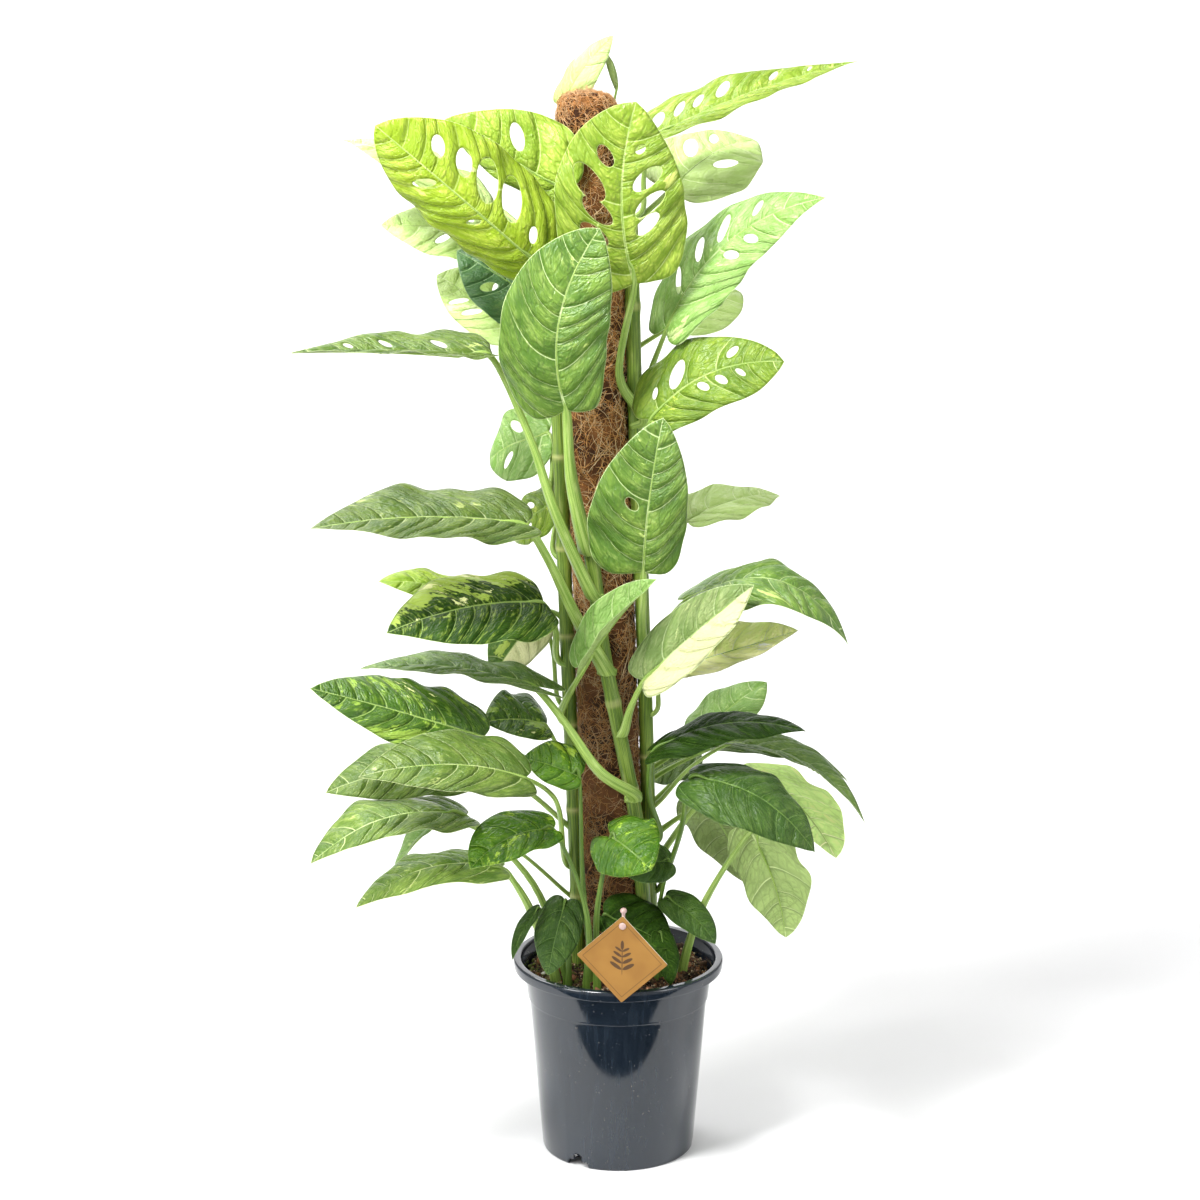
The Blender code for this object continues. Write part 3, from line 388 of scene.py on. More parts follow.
# A hole is (along, across, length, width): along runs from 0 at the base to 1 at the tip, across from -1
# at the left edge to 1 at the right, and the sizes are shares of the half width there.
LEAVES = (
    Leaf("leaf_crown_left_broad", "sunlit", ("vine_left", 930), (-90, -56, 1029), (-255, -96, 1177),
        (46, 70), (-0.1, -0.95, 0.3), arch=0.06, fold=(-10, 6), cup=(40, 22), wave=0.05, point=0.0,
        belly=(0.14, 0.06), light=0.97, holes=((0.44, 0.46, 0.70, 0.34), (0.29, 0.50, 0.72, 0.32),
        (0.72, 0.46, 0.42, 0.24), (0.58, 0.46, 0.46, 0.25), (0.10, 0.34, 0.30, 0.15),
        (0.66, -0.30, 0.56, 0.20), (0.36, -0.24, 0.34, 0.12))),
    Leaf("leaf_crown_left_folded", "lime", ("vine_left", 1030), (-66, -45, 1108), (-187, -16, 1178),
        (26, 60), (0.15, -0.95, 0.0), via=((-82, -34, 1082),), fold=(0, 12), cup=(20, 24), wave=0.08,
        lobe=2.5, belly=(0.0, -0.14), light=1.12, holes=((0.44, 0.44, 0.56, 0.26),)),
    Leaf("leaf_crown_centre", "lime", ("vine_right", 845), (16, -68, 1008), (17, -88, 1201), (72, 69),
        (0.0, -1.0, 0.1), via=((0, -29, 905),), sway=-0.075, arch=0.05, fold=4, cup=26, wave=0.05, lobe=0.3,
        belly=(0.09, 0.03), point=0.0, stalk=1.2, light=0.95, holes=((0.70, -0.32, 0.40, 0.22),
        (0.56, -0.50, 0.66, 0.32), (0.42, -0.36, 0.56, 0.24), (0.30, -0.44, 0.50, 0.22),
        (0.76, 0.32, 0.24, 0.16), (0.60, 0.42, 0.62, 0.28), (0.45, 0.44, 0.62, 0.24),
        (0.33, 0.38, 0.48, 0.22))),
    Leaf("leaf_crown_right_long", "lime", ("vine_right", 1070), (36, -16, 1160), (261, 16, 1238), (48, 32),
        (0.0, -0.36, 0.93), arch=0.04, fold=13, cup=14, wave=0.05, lobe=3.0, point=1.0, belly=(-0.22, 0.0),
        light=0.93, holes=((0.05, -0.46, 0.62, 0.30), (0.16, -0.46, 0.50, 0.20), (0.25, -0.44, 0.46, 0.20),
        (0.37, -0.50, 0.60, 0.30), (0.60, -0.50, 0.60, 0.24), (0.76, -0.48, 0.56, 0.22))),
    Leaf("leaf_crown_right_back", "pale", ("vine_back", 1010), (58, 44, 1100), (152, 122, 1145), (62, 66),
        (-0.5, -0.75, 0.45), arch=0.1, fold=6, cup=20, holes=((0.42, -0.42, 0.56, 0.26),
        (0.44, 0.40, 0.42, 0.22), (0.66, -0.42, 0.44, 0.20))),
    Leaf("leaf_upper_right", "soft", ("vine_right", 885), (50, -42, 957), (219, -80, 1101), (44, 49),
        (-0.35, -0.72, 0.6), via=((40, -22, 924),), sway=-0.13, arch=0.05, fold=4, cup=18, wave=0.05,
        point=0.5, light=1.16, holes=((0.68, -0.46, 0.56, 0.22), (0.50, -0.44, 0.76, 0.24),
        (0.36, -0.44, 0.62, 0.22), (0.20, -0.40, 0.70, 0.16), (0.60, 0.36, 0.48, 0.24),
        (0.47, 0.36, 0.44, 0.22))),
    Leaf("leaf_shoulder_right", "fresh", ("vine_right", 780), (33, -72, 863), (174, -108, 931), (54, 42),
        (-0.1, -0.8, 0.58), sway=-0.10, arch=0.08, fold=5, cup=24, wave=0.06, lobe=1.4, belly=(-0.14, 0.18),
        point=0.0, light=0.9, holes=((0.68, -0.46, 0.44, 0.24), (0.30, -0.34, 0.60, 0.30),
        (0.72, 0.24, 0.34, 0.14), (0.58, 0.30, 0.40, 0.20), (0.44, 0.28, 0.40, 0.20),
        (0.12, -0.34, 0.24, 0.12))),
    Leaf("leaf_upper_front", "plain", ("vine_front", 712), (-57, -84, 875), (-21, -112, 1072), (63, 54),
        (0.02, -0.97, 0.22), via=((-52, -68, 800),), arch=0.09, sway=-0.12, fold=5, cup=24, wave=0.03,
        lobe=0.5, belly=(0.05, 0.10), point=0.0, stalk=1.7, light=1.3),
    Leaf("leaf_upper_left_long", "grey", ("vine_front", 660), (-135, -58, 929), (-353, -128, 943), (36, 50),
        (-0.1, -0.19, 0.98), via=((-70, -60, 760), (-97, -58, 842)), arch=0.02, fold=17, cup=10, wave=0.06,
        lobe=0.0, stalk=1.6, point=0.9, belly=(-0.05, -0.18), light=0.95, holes=((0.69, 0.40, 0.50, 0.26),
        (0.51, 0.36, 0.44, 0.22), (0.25, 0.36, 0.42, 0.22))),
    Leaf("leaf_upper_left_dark", "blue", ("vine_left", 885), (-84, 14, 974), (-178, 36, 1031), (46, 48),
        (-0.1, -0.75, 0.65), fold=6, cup=22, holes=((0.52, -0.42, 0.46, 0.24), (0.30, 0.36, 0.44, 0.26),
        (0.50, 0.36, 0.36, 0.20))),
    Leaf("leaf_upper_left_back", "pale", ("vine_back", 850), (-112, 78, 937), (-206, 138, 992), (36, 52),
        (-0.1, -0.8, 0.6), fold=6, cup=20, holes=((0.62, -0.44, 0.76, 0.20), (0.44, -0.44, 0.66, 0.20),
        (0.40, 0.42, 0.46, 0.20))),
    Leaf("leaf_crown_left_far", "pale", ("vine_left", 985), (-150, 34, 1082), (-306, 60, 1150), (42, 42),
        (0.2, -0.35, 0.9), arch=0.08, cup=20, point=0.8),
    Leaf("leaf_crown_left_under", "pale", ("vine_back", 960), (-120, 92, 1040), (-266, 100, 1052), (48, 48),
        (0.0, -0.6, 0.8), arch=0.04, cup=20, holes=((0.5, -0.42, 0.46, 0.2), (0.35, 0.42, 0.46, 0.2))),
    Leaf("leaf_shoulder_left_back", "soft", ("vine_left", 745), (-78, 28, 829), (-146, 84, 788), (46, 46),
        (-0.5, -0.75, 0.5), arch=0.12, holes=((0.55, -0.4, 0.5, 0.22), (0.40, 0.42, 0.5, 0.22))),
    Leaf("leaf_shoulder_back_small", "fresh", ("vine_left", 690), (-72, 30, 752), (-118, 72, 700), (33, 33),
        (-0.6, -0.6, 0.5), arch=0.1, holes=((0.5, -0.4, 0.4, 0.2), (0.4, 0.42, 0.4, 0.2))),
    Leaf("shoot_crown", "pale", ("vine_back", 1118), (-62, 48, 1190), (-6, 60, 1262), (22, 22),
        (-0.5, -0.8, 0.2), arch=0.1, cup=40),
    Leaf("shoot_crown", "pale", ("vine_back", 1118), (-2, 58, 1205), (-16, 50, 1246), (5, 5),
        (0.3, -0.9, 0.2), arch=0.1, cup=70),
    Leaf("leaf_upper_right_back", "pale", ("vine_back", 880), (62, 52, 950), (138, 120, 975), (42, 42),
        (-0.3, -0.75, 0.6), arch=0.08),
    Leaf("leaf_middle_left_high", "grey", ("vine_front", 575), (-100, -106, 756), (-327, -162, 762),
        (54, 62), (-0.05, -0.33, 0.94), via=((-46, -62, 640), (-76, -92, 712)), arch=0.05, fold=11, cup=16,
        wave=0.08, stalk=1.5, point=0.5, light=0.68),
    Leaf("leaf_middle_left_marbled", "marbled_right", ("vine_left", 570), (-82, -66, 660), (-249, -142, 644),
        (62, 62), (-0.1, -0.5, 0.86), arch=0.08, fold=5, cup=20, wave=0.06, lobe=0.3, light=1.15),
    Leaf("leaf_middle_left_lime", "lime", ("vine_left", 620), (-158, -14, 655), (-264, -44, 678), (30, 30),
        (0.0, -0.4, 0.9), via=((-96, -14, 638),), arch=0.06),
    Leaf("leaf_middle_left_cream", "cream_left", ("vine_left", 520), (-86, 14, 628), (-142, -4, 558),
        (30, 36), (-0.2, -0.8, 0.5), arch=0.08),
    Leaf("leaf_waist_left_marbled", "marbled", ("vine_left", 425), (-147, -94, 515), (-331, -152, 586),
        (44, 62), (-0.1, -0.6, 0.8), sway=-0.03, arch=0.05, fold=5, cup=(26, 34), wave=0.04,
        belly=(0.0, -0.05), light=1.15),
    Leaf("leaf_waist_left_edge", "plain", ("vine_front", 425), (-91, -68, 566), (-289, -44, 578), (30, 37),
        (0.0, -0.10, 1.0), via=((-22, -74, 470), (-60, -76, 527)), arch=0.07, fold=9, cup=12, wave=0.05,
        lobe=3.4, stalk=1.8, point=0.4),
    Leaf("leaf_waist_left_front", "grey", ("vine_left", 330), (-100, -140, 483), (-277, -198, 501), (40, 48),
        (-0.1, -0.55, 0.83), via=((-66, -58, 420), (-78, -84, 450)), arch=0.11, fold=6, cup=(20, 6),
        wave=0.04, light=0.92),
    Leaf("leaf_waist_left_light", "grey", ("vine_left", 375), (-156, -48, 470), (-323, -90, 450), (42, 46),
        (-0.1, -0.6, 0.8), arch=0.1),
    Leaf("leaf_lower_left_long", "grey", ("soil", -60, -40), (-167, -112, 431), (-332, -180, 398), (40, 62),
        (-0.1, -0.2, 0.97), via=((-96, -46, 330),), arch=0.15, fold=4, cup=22, wave=0.06, light=1.15),
    Leaf("leaf_lower_left_hanging", "soft", ("vine_left", 290), (-192, -54, 411), (-252, -56, 338), (23, 23),
        (-0.8, -0.1, 0.6), arch=0.1, fold=24),
    Leaf("leaf_lower_left_drooping", "grey", ("soil", -72, -50), (-129, -106, 370), (-288, -148, 337),
        (28, 46), (-0.1, -0.35, 0.94), via=((-98, -56, 300), (-118, -80, 346)), arch=0.16, fold=-4, cup=26,
        wave=0.08, stalk=1.3, light=1.7),
    Leaf("leaf_lower_left_glossy", "gloss", ("soil", -36, -78), (-71, -110, 415), (-161, -164, 387),
        (30, 37), (-0.1, -0.6, 0.8), via=((-33, -92, 290), (-45, -100, 350)), arch=0.12, sway=0.06, fold=6,
        cup=16, belly=0.08, light=1.15),
    Leaf("leaf_waist_front_small", "gloss", ("soil", -30, -56), (-43, -84, 467), (-106, -84, 488), (24, 37),
        (0.1, -0.65, 0.75), via=((-40, -66, 340),), arch=0.06),
    Leaf("leaf_waist_left_back", "marbled", ("vine_left", 440), (-80, -20, 508), (-150, -52, 520), (28, 48),
        (-0.1, -0.6, 0.8), arch=0.1),
    Leaf("leaf_middle_front", "plain", ("vine_right", 545), (26, -88, 698), (46, -120, 873), (64, 43),
        (0.0, -0.97, 0.24), via=((26, -68, 620),), arch=0.06, sway=-0.02, fold=5, cup=22, wave=0.04,
        lobe=0.2, belly=(-0.06, 0.02), point=0.0, stalk=1.4, light=1.2, holes=((0.46, -0.30, 0.30, 0.18),)),
    Leaf("leaf_middle_front_rolled", "soft", ("vine_left", 500), (-36, -80, 596), (40, -114, 697), (30, 28),
        (-0.45, -0.5, 0.75), arch=0.05, fold=30, cup=-30, lobe=2.6, stalk=1.3),
    Leaf("leaf_middle_right_cream", "cream", ("vine_front", 500), (26, -90, 578), (144, -120, 692), (34, 35),
        (-0.3, -0.85, 0.45), arch=0.04, fold=16, cup=6, belly=0.06, lobe=0.7, stalk=1.3, light=1.1),
    Leaf("leaf_middle_right_light", "pale", ("vine_right", 510), (54, -46, 580), (196, -72, 630), (44, 21),
        (-0.1, -0.6, 0.8), sway=0.04, arch=0.04, fold=6, light=1.9),
    Leaf("leaf_middle_right_arched", "plain", ("vine_right", 580), (73, -42, 657), (253, -62, 608), (46, 54),
        (-0.1, -0.25, 0.96), arch=0.30, fold=6, cup=26, wave=0.08, point=0.6, light=1.25),
    Leaf("leaf_middle_right_back", "pale", ("vine_back", 650), (78, 46, 729), (189, 130, 738), (42, 38),
        (0.0, -0.3, 0.95), arch=0.08, fold=10, point=0.8),
    Leaf("leaf_waist_right_dark", "dark", ("vine_right", 360), (37, -68, 492), (205, -86, 519), (48, 48),
        (0.0, -0.12, 0.99), arch=0.13, fold=4, cup=26, wave=0.07, light=0.7),
    Leaf("leaf_waist_right_back", "soft", ("vine_back", 400), (92, 30, 480), (172, 94, 527), (34, 34),
        (-0.2, -0.6, 0.78), arch=0.06),
    Leaf("leaf_lower_right_narrow", "plain", ("vine_right", 400), (122, -26, 488), (277, -46, 399), (32, 32),
        (0.35, -0.1, 0.93), arch=0.15, fold=18, cup=10, point=0.8),
    Leaf("leaf_lower_right_narrow_back", "plain", ("vine_back", 380), (112, 30, 470), (266, 46, 420),
        (34, 34), (0.2, -0.1, 0.97), arch=0.12, fold=14, point=0.8),
    Leaf("leaf_lower_right_front", "dusk", ("vine_right", 300), (78, -96, 470), (213, -140, 398), (52, 46),
        (0.3, -0.6, 0.75), via=((70, -36, 390),), arch=0.2, fold=-4, cup=30, wave=0.05),
    Leaf("leaf_lower_right_broad", "below", ("vine_right", 335), (139, -14, 457), (250, 26, 336), (60, 66),
        (0.5, 0.62, 0.6), arch=0.1, cup=14, point=0.0, light=2.1),
    Leaf("leaf_lower_right_hanging", "below", ("soil", 74, -22), (147, -76, 401), (186, -96, 284), (54, 56),
        (0.55, 0.72, 0.42), via=((98, -36, 306),), arch=0.08, cup=14, point=0.0, light=1.1),
    Leaf("leaf_lower_right_under", "below", ("vine_back", 300), (98, 42, 398), (145, 80, 290), (50, 50),
        (0.4, 0.75, 0.5), arch=0.1, point=0.0),
    Leaf("leaf_waist_right_behind", "plain", ("vine_back", 345), (94, 72, 448), (34, 98, 410), (30, 32),
        (-0.1, -0.6, 0.8), arch=0.08),
    Leaf("shoot_collar_front", "gloss", ("soil", -24, -78), (-9, -72, 394), (36, -112, 368), (45, 40),
        (-0.1, -0.75, 0.65), via=((-24, -82, 310),), arch=0.12, cup=26, lobe=6.0, point=0.0, light=1.1),
    Leaf("shoot_collar_side", "dusk", ("soil", 42, -46), (56, -62, 362), (-6, -84, 360), (26, 26),
        (0.2, -0.7, 0.7), via=((46, -42, 300),), arch=0.08, lobe=2.0),
    Leaf("shoot_collar_side", "dusk", ("soil", 47, -42), (53, -50, 315), (109, -68, 266), (24, 22),
        (0.2, -0.6, 0.78), arch=0.14, cup=24),
    Leaf("shoot_collar_right", "dark", ("soil", 18, -66), (-16, -66, 300), (60, -84, 268), (44, 25),
        (0.1, -0.65, 0.75), arch=0.05, cup=30, lobe=1.6),
    Leaf("shoot_collar_right", "dark", ("soil", 22, -70), (46, -78, 284), (58, -92, 226), (15, 15),
        (0.3, -0.85, 0.4), arch=0.1, fold=10),
    Leaf("shoot_collar_left", "dusk", ("soil", -56, -66), (-59, -72, 319), (-79, -98, 240), (27, 25),
        (-0.1, -0.9, 0.4), arch=0.14, cup=30),
    Leaf("shoot_collar_left", "dusk", ("soil", -60, -62), (-88, -78, 312), (-118, -108, 262), (9, 9),
        (-0.4, -0.7, 0.5), arch=0.16, fold=20),
)

# Half of a blade's outline, from the base to the tip: share of the length, share of the half width
HALF_OUTLINE = (
    (0.0, 0.0), (-0.045, 0.26), (-0.03, 0.60), (0.08, 0.86), (0.22, 0.98), (0.38, 1.0), (0.55, 0.93),
    (0.71, 0.76), (0.85, 0.50), (0.95, 0.23), (1.0, 0.0),
)

# %% [markdown]
# A real blade is a sheet that was bent as it grew. So the outline is drawn flat first, with its holes, and
# each point is then carried to its place on the bent blade. The midrib gives the spine of the bend.

# %% The bent blade
VEIN_SPACING = 26 * MM


def by_half(pair, right):
    """A value of the left or right half for each point. pair may be one value for both."""
    left_value, right_value = pair if np.ndim(pair) else (pair, pair)
    return np.where(right, right_value, left_value)


def smooth_path(points, steps):
    """Points along a curve through the given ones, `steps` to each stretch."""
    points = [np.array(p, float) for p in points]
    points = [2 * points[0] - points[1], *points, 2 * points[-1] - points[-2]]
    path = []
    for a, b, c, d in zip(points, points[1:], points[2:], points[3:]):
        for t in np.linspace(0, 1, steps, endpoint=False):
            path.append(0.5 * (2 * b + (c - a) * t + (2 * a - 5 * b + 4 * c - d) * t**2
                               + (3 * b - 3 * c + d - a) * t**3))
    return np.array([*path, points[-2]])


def unit(vectors):
    """One vector or many, made 1 long."""
    return vectors / np.maximum(np.linalg.norm(vectors, axis=-1, keepdims=True), 1e-12)


def round_angles(count):
    return np.arange(count) * 2 * np.pi / count


class Blade:
    """One leaf blade: its flat outline, and the way that it is bent in space."""

    def __init__(self, leaf):
        self.leaf = leaf
        self.base = np.array(leaf.base) * MM + AXIS
        chord = np.array(leaf.tip) * MM + AXIS - self.base
        self.length = float(np.linalg.norm(chord))
        self.along = chord / self.length
        face = np.array(leaf.face, float)
        self.face = unit(face - face @ self.along * self.along)
        self.side = np.cross(self.along, self.face)
        self.halves = np.array(leaf.halves) * MM
        self.vein_count = max(4, round(self.length / VEIN_SPACING))

    def spine(self, u):
        """The midrib's point at a share of the length; behind the base it runs on straight."""
        u = np.asarray(u, float)[..., None]
        bow = 4 * u * (1 - np.maximum(u, 0.0))
        nod = np.maximum(u, 0.0) ** 3 - u
        lift = self.leaf.arch * bow - self.leaf.nod * nod
        sway = self.leaf.sway * bow
        return self.base + self.length * (u * self.along + lift * self.face + sway * self.side)

    def outline(self, right, steps):
        """(share of the length, distance from the midrib) down one half, from base to tip."""
        shaped = [(u * (self.leaf.lobe if u < 0 else 1.0), v, 0.0) for u, v in HALF_OUTLINE]
        points = smooth_path(shaped, steps)[:, :2]
        u = points[:, 0]
        sharper = 1.0 + self.leaf.point * np.clip((u - 0.45) / 0.55, 0.0, 1.0)
        out = self.halves[right] * np.maximum(points[:, 1], 0.0) ** sharper
        bulge = by_half(self.leaf.belly, right) * np.sin(np.pi * np.clip(u, 0, 1))
        return np.column_stack([u + bulge, out if right else -out])

    def width_at(self, u, right):
        """The half width at a share of the length, inside the blade."""
        edge = self.outline(right, 1)
        edge = edge[2:] if self.leaf.lobe > 0 else edge
        return float(np.interp(u, edge[:, 0], np.abs(edge[:, 1])))

    def points(self, u, v):
        """Places and normals on the bent blade at shares u along and v metres to the right."""
        leaf, right, step = self.leaf, v > 0, 0.01
        tangent = unit(self.spine(u + step) - self.spine(u - step))
        side = unit(self.side - (tangent @ self.side)[:, None] * tangent)
        normal = np.cross(side, tangent)
        turn = (np.radians(leaf.twist) * u)[:, None]
        side, normal = (side * np.cos(turn) + normal * np.sin(turn),
                        normal * np.cos(turn) - side * np.sin(turn))
        half = by_half(self.halves, right)
        share = np.abs(v) / half
        rolled = np.radians(by_half(leaf.cup, right)) * share / 2
        slope = np.radians(by_half(leaf.fold, right)) - rolled
        out = np.abs(v) * np.sinc(rolled / np.pi)
        lift = out * np.sin(slope)
        lift += leaf.wave * half * share**2 * np.sin(13.0 * u + by_half((2.4, 0.6), right))
        place = self.spine(u) + (np.sign(v) * out * np.cos(slope))[:, None] * side + lift[:, None] * normal
        tilted = slope - rolled
        lean = by_half((-1.0, 1.0), right) * np.sin(tilted)
        out_normal = normal * np.cos(tilted)[:, None] - lean[:, None] * side
        return place, np.where((np.abs(v) < 1e-6)[:, None], normal, out_normal)

    def hole(self, along, across, length, width, sides):
        """One hole's outline in flat (u, v): an oval that leans forward as the side veins do."""
        lean = math.radians(52 - 14 * along)
        half = self.width_at(along, int(across > 0))
        centre = np.array([along * self.length, across * half])
        forward = np.array([math.cos(lean), math.copysign(math.sin(lean), across)])
        sideways = np.array([-forward[1], forward[0]])
        turns = round_angles(sides)
        oval = length * np.outer(np.cos(turns), forward) + width * np.outer(np.sin(turns), sideways)
        ring = centre + half * oval / 2
        return np.column_stack([ring[:, 0] / self.length, ring[:, 1]])


longest = max(map(Blade, LEAVES), key=lambda blade: blade.length)
print("longest blade:", longest.leaf.name, round(longest.length, 3), "m, side veins:", longest.vein_count)

# %% [markdown]
# The flat shape is filled with a fine net of triangles by Blender's own Delaunay routine, which respects
# the rim and the holes. The net is fine enough to carry the relief of a monstera leaf: a sunken midrib,
# side veins, and the swell of the blade between them. A second sheet just under the first makes the
# underside, and a strip joins the two along every edge.

# %% A fine blade
NET_STEP = 3.4 * MM
ROW_STEP = NET_STEP * 0.866
RIM_STEPS = 7
HOLE_SIDES = 22
MIDRIB_CLEAR = 2.6 * MM
MIDRIB_HALF = 1.4 * MM
BLADE_THICKNESS = 0.7 * MM
MIDRIB_DEPTH = 1.3 * MM
MIDRIB_SPREAD = 2.2 * MM
SWELL_HEIGHT = 3.8 * MM
UNDULATION = 3.0 * MM
CRUMPLE = 0.5 * MM
RUFFLE = 2.4 * MM
SEED_STEP = 1.7


def inside_ring(points, ring):
    """Which of many points lie inside a closed ring, by counting how often a line crosses it."""
    x, y = points[:, 0][:, None], points[:, 1][:, None]
    x1, y1 = ring[:, 0], ring[:, 1]
    x2, y2 = np.roll(x1, -1), np.roll(y1, -1)
    rise = np.where(y2 == y1, 1e-12, y2 - y1)
    crosses = ((y1 > y) != (y2 > y)) & (x < x1 + (x2 - x1) * (y - y1) / rise)
    return crosses.sum(axis=1) % 2 == 1


def between(points, rings):
    """Which of many points lie inside the first ring and outside the others."""
    return inside_ring(points, rings[0]) & ~np.any([inside_ring(points, ring) for ring in rings[1:]], axis=0)


def distance_to(points, rings):
    """How far each point is from the nearest edge of the rings."""
    best = np.full(len(points), 1.0)
    for ring in rings:
        start, run = ring, np.roll(ring, -1, axis=0) - ring
        length = np.maximum((run ** 2).sum(axis=1), 1e-12)
        for first in range(0, len(points), 4000):
            some = points[first:first + 4000]
            share = ((some[:, None] - start) * run).sum(axis=2) / length
            nearest = start + np.clip(share, 0, 1)[..., None] * run
            gap = np.sqrt(((some[:, None] - nearest) ** 2).sum(axis=2)).min(axis=1)
            best[first:first + 4000] = np.minimum(best[first:first + 4000], gap)
    return best


def filled(rings, inner, lines=()):
    """A net of triangles between the first ring and the others, through the inner points."""
    edges, first = [], 0
    for ring in rings:
        edges += [(first + i, first + (i + 1) % len(ring)) for i in range(len(ring))]
        first += len(ring)
    points = [Vector(p) for p in np.vstack([*rings, inner])]
    flat, _, faces, *_ = delaunay_2d_cdt(points, [*edges, *lines], [], 0, 1e-8, False)
    flat, faces = np.array([tuple(p) for p in flat]), np.array([tuple(f) for f in faces])
    return flat, faces[between(flat[faces].mean(axis=1), rings)]


def open_edges(faces):
    """The edges that only one triangle has, each in the direction of its triangle."""
    pairs = np.vstack([faces[:, [0, 1]], faces[:, [1, 2]], faces[:, [2, 0]]])
    known = {tuple(pair) for pair in pairs.tolist()}
    return [(a, b) for a, b in known if (b, a) not in known]


def flat_net(blade):
    """Points (u, v) and triangles of the flat blade, with its rim, its holes and its midrib."""
    size = np.array([blade.length, 1.0])
    right = blade.outline(1, RIM_STEPS)[1:-1]
    left = blade.outline(0, RIM_STEPS)[1:-1][::-1]
    rim = np.vstack([[[0.0, 0.0]], right, [[1.0, 0.0]], left]) * size
    rings = [rim, *(blade.hole(*hole, sides=HOLE_SIDES) * size for hole in blade.leaf.holes)]
    low, high = rim.min(axis=0), rim.max(axis=0)
    grid = np.array([(x + (NET_STEP / 2 if i % 2 else 0.0), y)
                     for i, y in enumerate(np.arange(low[1], high[1], ROW_STEP))
                     for x in np.arange(low[0], high[0], NET_STEP)])
    clear = (distance_to(grid, rings) > NET_STEP * 0.55) & (abs(grid[:, 1]) > MIDRIB_CLEAR)
    grid = grid[clear & between(grid, rings)]
    ribs = np.arange(NET_STEP, blade.length - NET_STEP / 2, NET_STEP)
    midrib = np.column_stack([ribs, np.zeros(len(ribs))])
    beside = np.vstack([midrib + (0.0, side) for side in (-MIDRIB_HALF, MIDRIB_HALF)])
    beside = beside[(distance_to(beside, rings) > 1.2 * MM) & inside_ring(beside, rim)]
    first = sum(map(len, rings))
    spine = [0, *range(first, first + len(midrib)), 1 + len(right)]
    return *filled(rings, np.vstack([midrib, beside, grid]), zip(spine, spine[1:])), rings


def vein_run(along, across, count, seed):
    """The same count along the side veins as in the node group: it is whole on a vein."""
    out = np.abs(across)
    even = (along - VEIN_LEAN * out - VEIN_CURVE * out**2) * count + VEIN_SHIFT * np.sign(across)
    return even + VEIN_SWAY * np.sin(VEIN_BEAT * even + seed)


def waves_at(points, scale, level=0.0):
    """Smooth noise at many places. Places with only x and y are read at a level of their own."""
    places = np.asarray(points) * scale
    if places.shape[1] == 2:
        places = np.column_stack([places, np.full(len(places), level)])
    return np.array([noise.noise(place) for place in places])


def relief(blade, flat, edge, seed):
    """How far each point of the blade stands out from its smooth surface."""
    u, v = flat[:, 0] / blade.length, flat[:, 1]
    half = by_half(blade.halves, v > 0)
    out = np.abs(v) / half
    phase = vein_run(u, v / half, blade.vein_count, seed * SEED_STEP) % 1.0
    away = np.abs(phase**0.75 - 0.5) * 2
    room = np.clip(edge / (9 * MM), 0, 1) * np.clip(out * 5, 0, 1) * min(1.0, half.max() / (40 * MM))
    height = SWELL_HEIGHT * room * (0.5 - away**2.2)
    height -= MIDRIB_DEPTH * np.exp(-(v / MIDRIB_SPREAD) ** 2) * (1 - 0.7 * np.clip(u, 0, 1))
    height += UNDULATION * waves_at(flat, 22, seed * 3.7) * np.clip(out * 2, 0.15, 1)
    height += CRUMPLE * waves_at(flat, 60, seed * 1.3 + 9)
    ruffle = np.sin(np.pi * blade.vein_count * u + seed) * out**4
    return height + RUFFLE * ruffle * min(1.0, half.max() / (45 * MM))


def fine_blade(blade, seed):
    """Vertices, faces and the leaf's own coordinates: along, across, distance to the edge, underside."""
    flat, faces, rings = flat_net(blade)
    used, faces = np.unique(faces, return_inverse=True)
    flat, faces = flat[used], faces.reshape(-1, 3)
    edge = distance_to(flat, rings)
    u, v = flat[:, 0] / blade.length, flat[:, 1]
    base, normal = blade.points(u, v)
    top = base + normal * relief(blade, flat, edge, seed)[:, None]
    cross = np.cross(top[faces[:, 1]] - top[faces[:, 0]], top[faces[:, 2]] - top[faces[:, 0]])
    out = np.zeros_like(top)
    for corner in range(3):
        np.add.at(out, faces[:, corner], cross)
    out = unit(out) * np.sign((out * normal).sum(axis=1))[:, None]
    under = top - out * BLADE_THICKNESS * (0.45 + 0.55 * np.clip(edge / (4 * MM), 0, 1))[:, None]
    if ((cross * normal[faces[:, 0]]).sum(axis=1) < 0).mean() > 0.5:
        faces = faces[:, ::-1]
    count = len(top)
    strip = [(b, a, a + count, b + count) for a, b in open_edges(faces)]
    all_faces = [*faces.tolist(), *(faces[:, ::-1] + count).tolist(), *strip]
    own = np.column_stack([u, v / by_half(blade.halves, v > 0), edge / MM])
    return np.vstack([top, under]), all_faces, np.vstack([own, own]), np.repeat([0.0, 1.0], count)


print("triangles in the longest blade's net:", len(flat_net(longest)[1]))

# %% [markdown]
# A leaf stalk isn't a plain rod. It has a channel along its upper side, and on its lower half a thin
# sheath on both sides, which once wrapped the next leaf. So one helper sweeps a cross-section along a path
# and lets its shape change on the way. It serves the vines and the tag's pick as well.

# %% Swept stems
SHEATH = 0.55
# The stem's own coordinate along its length runs 20 to the metre
OWN_SCALE = 20


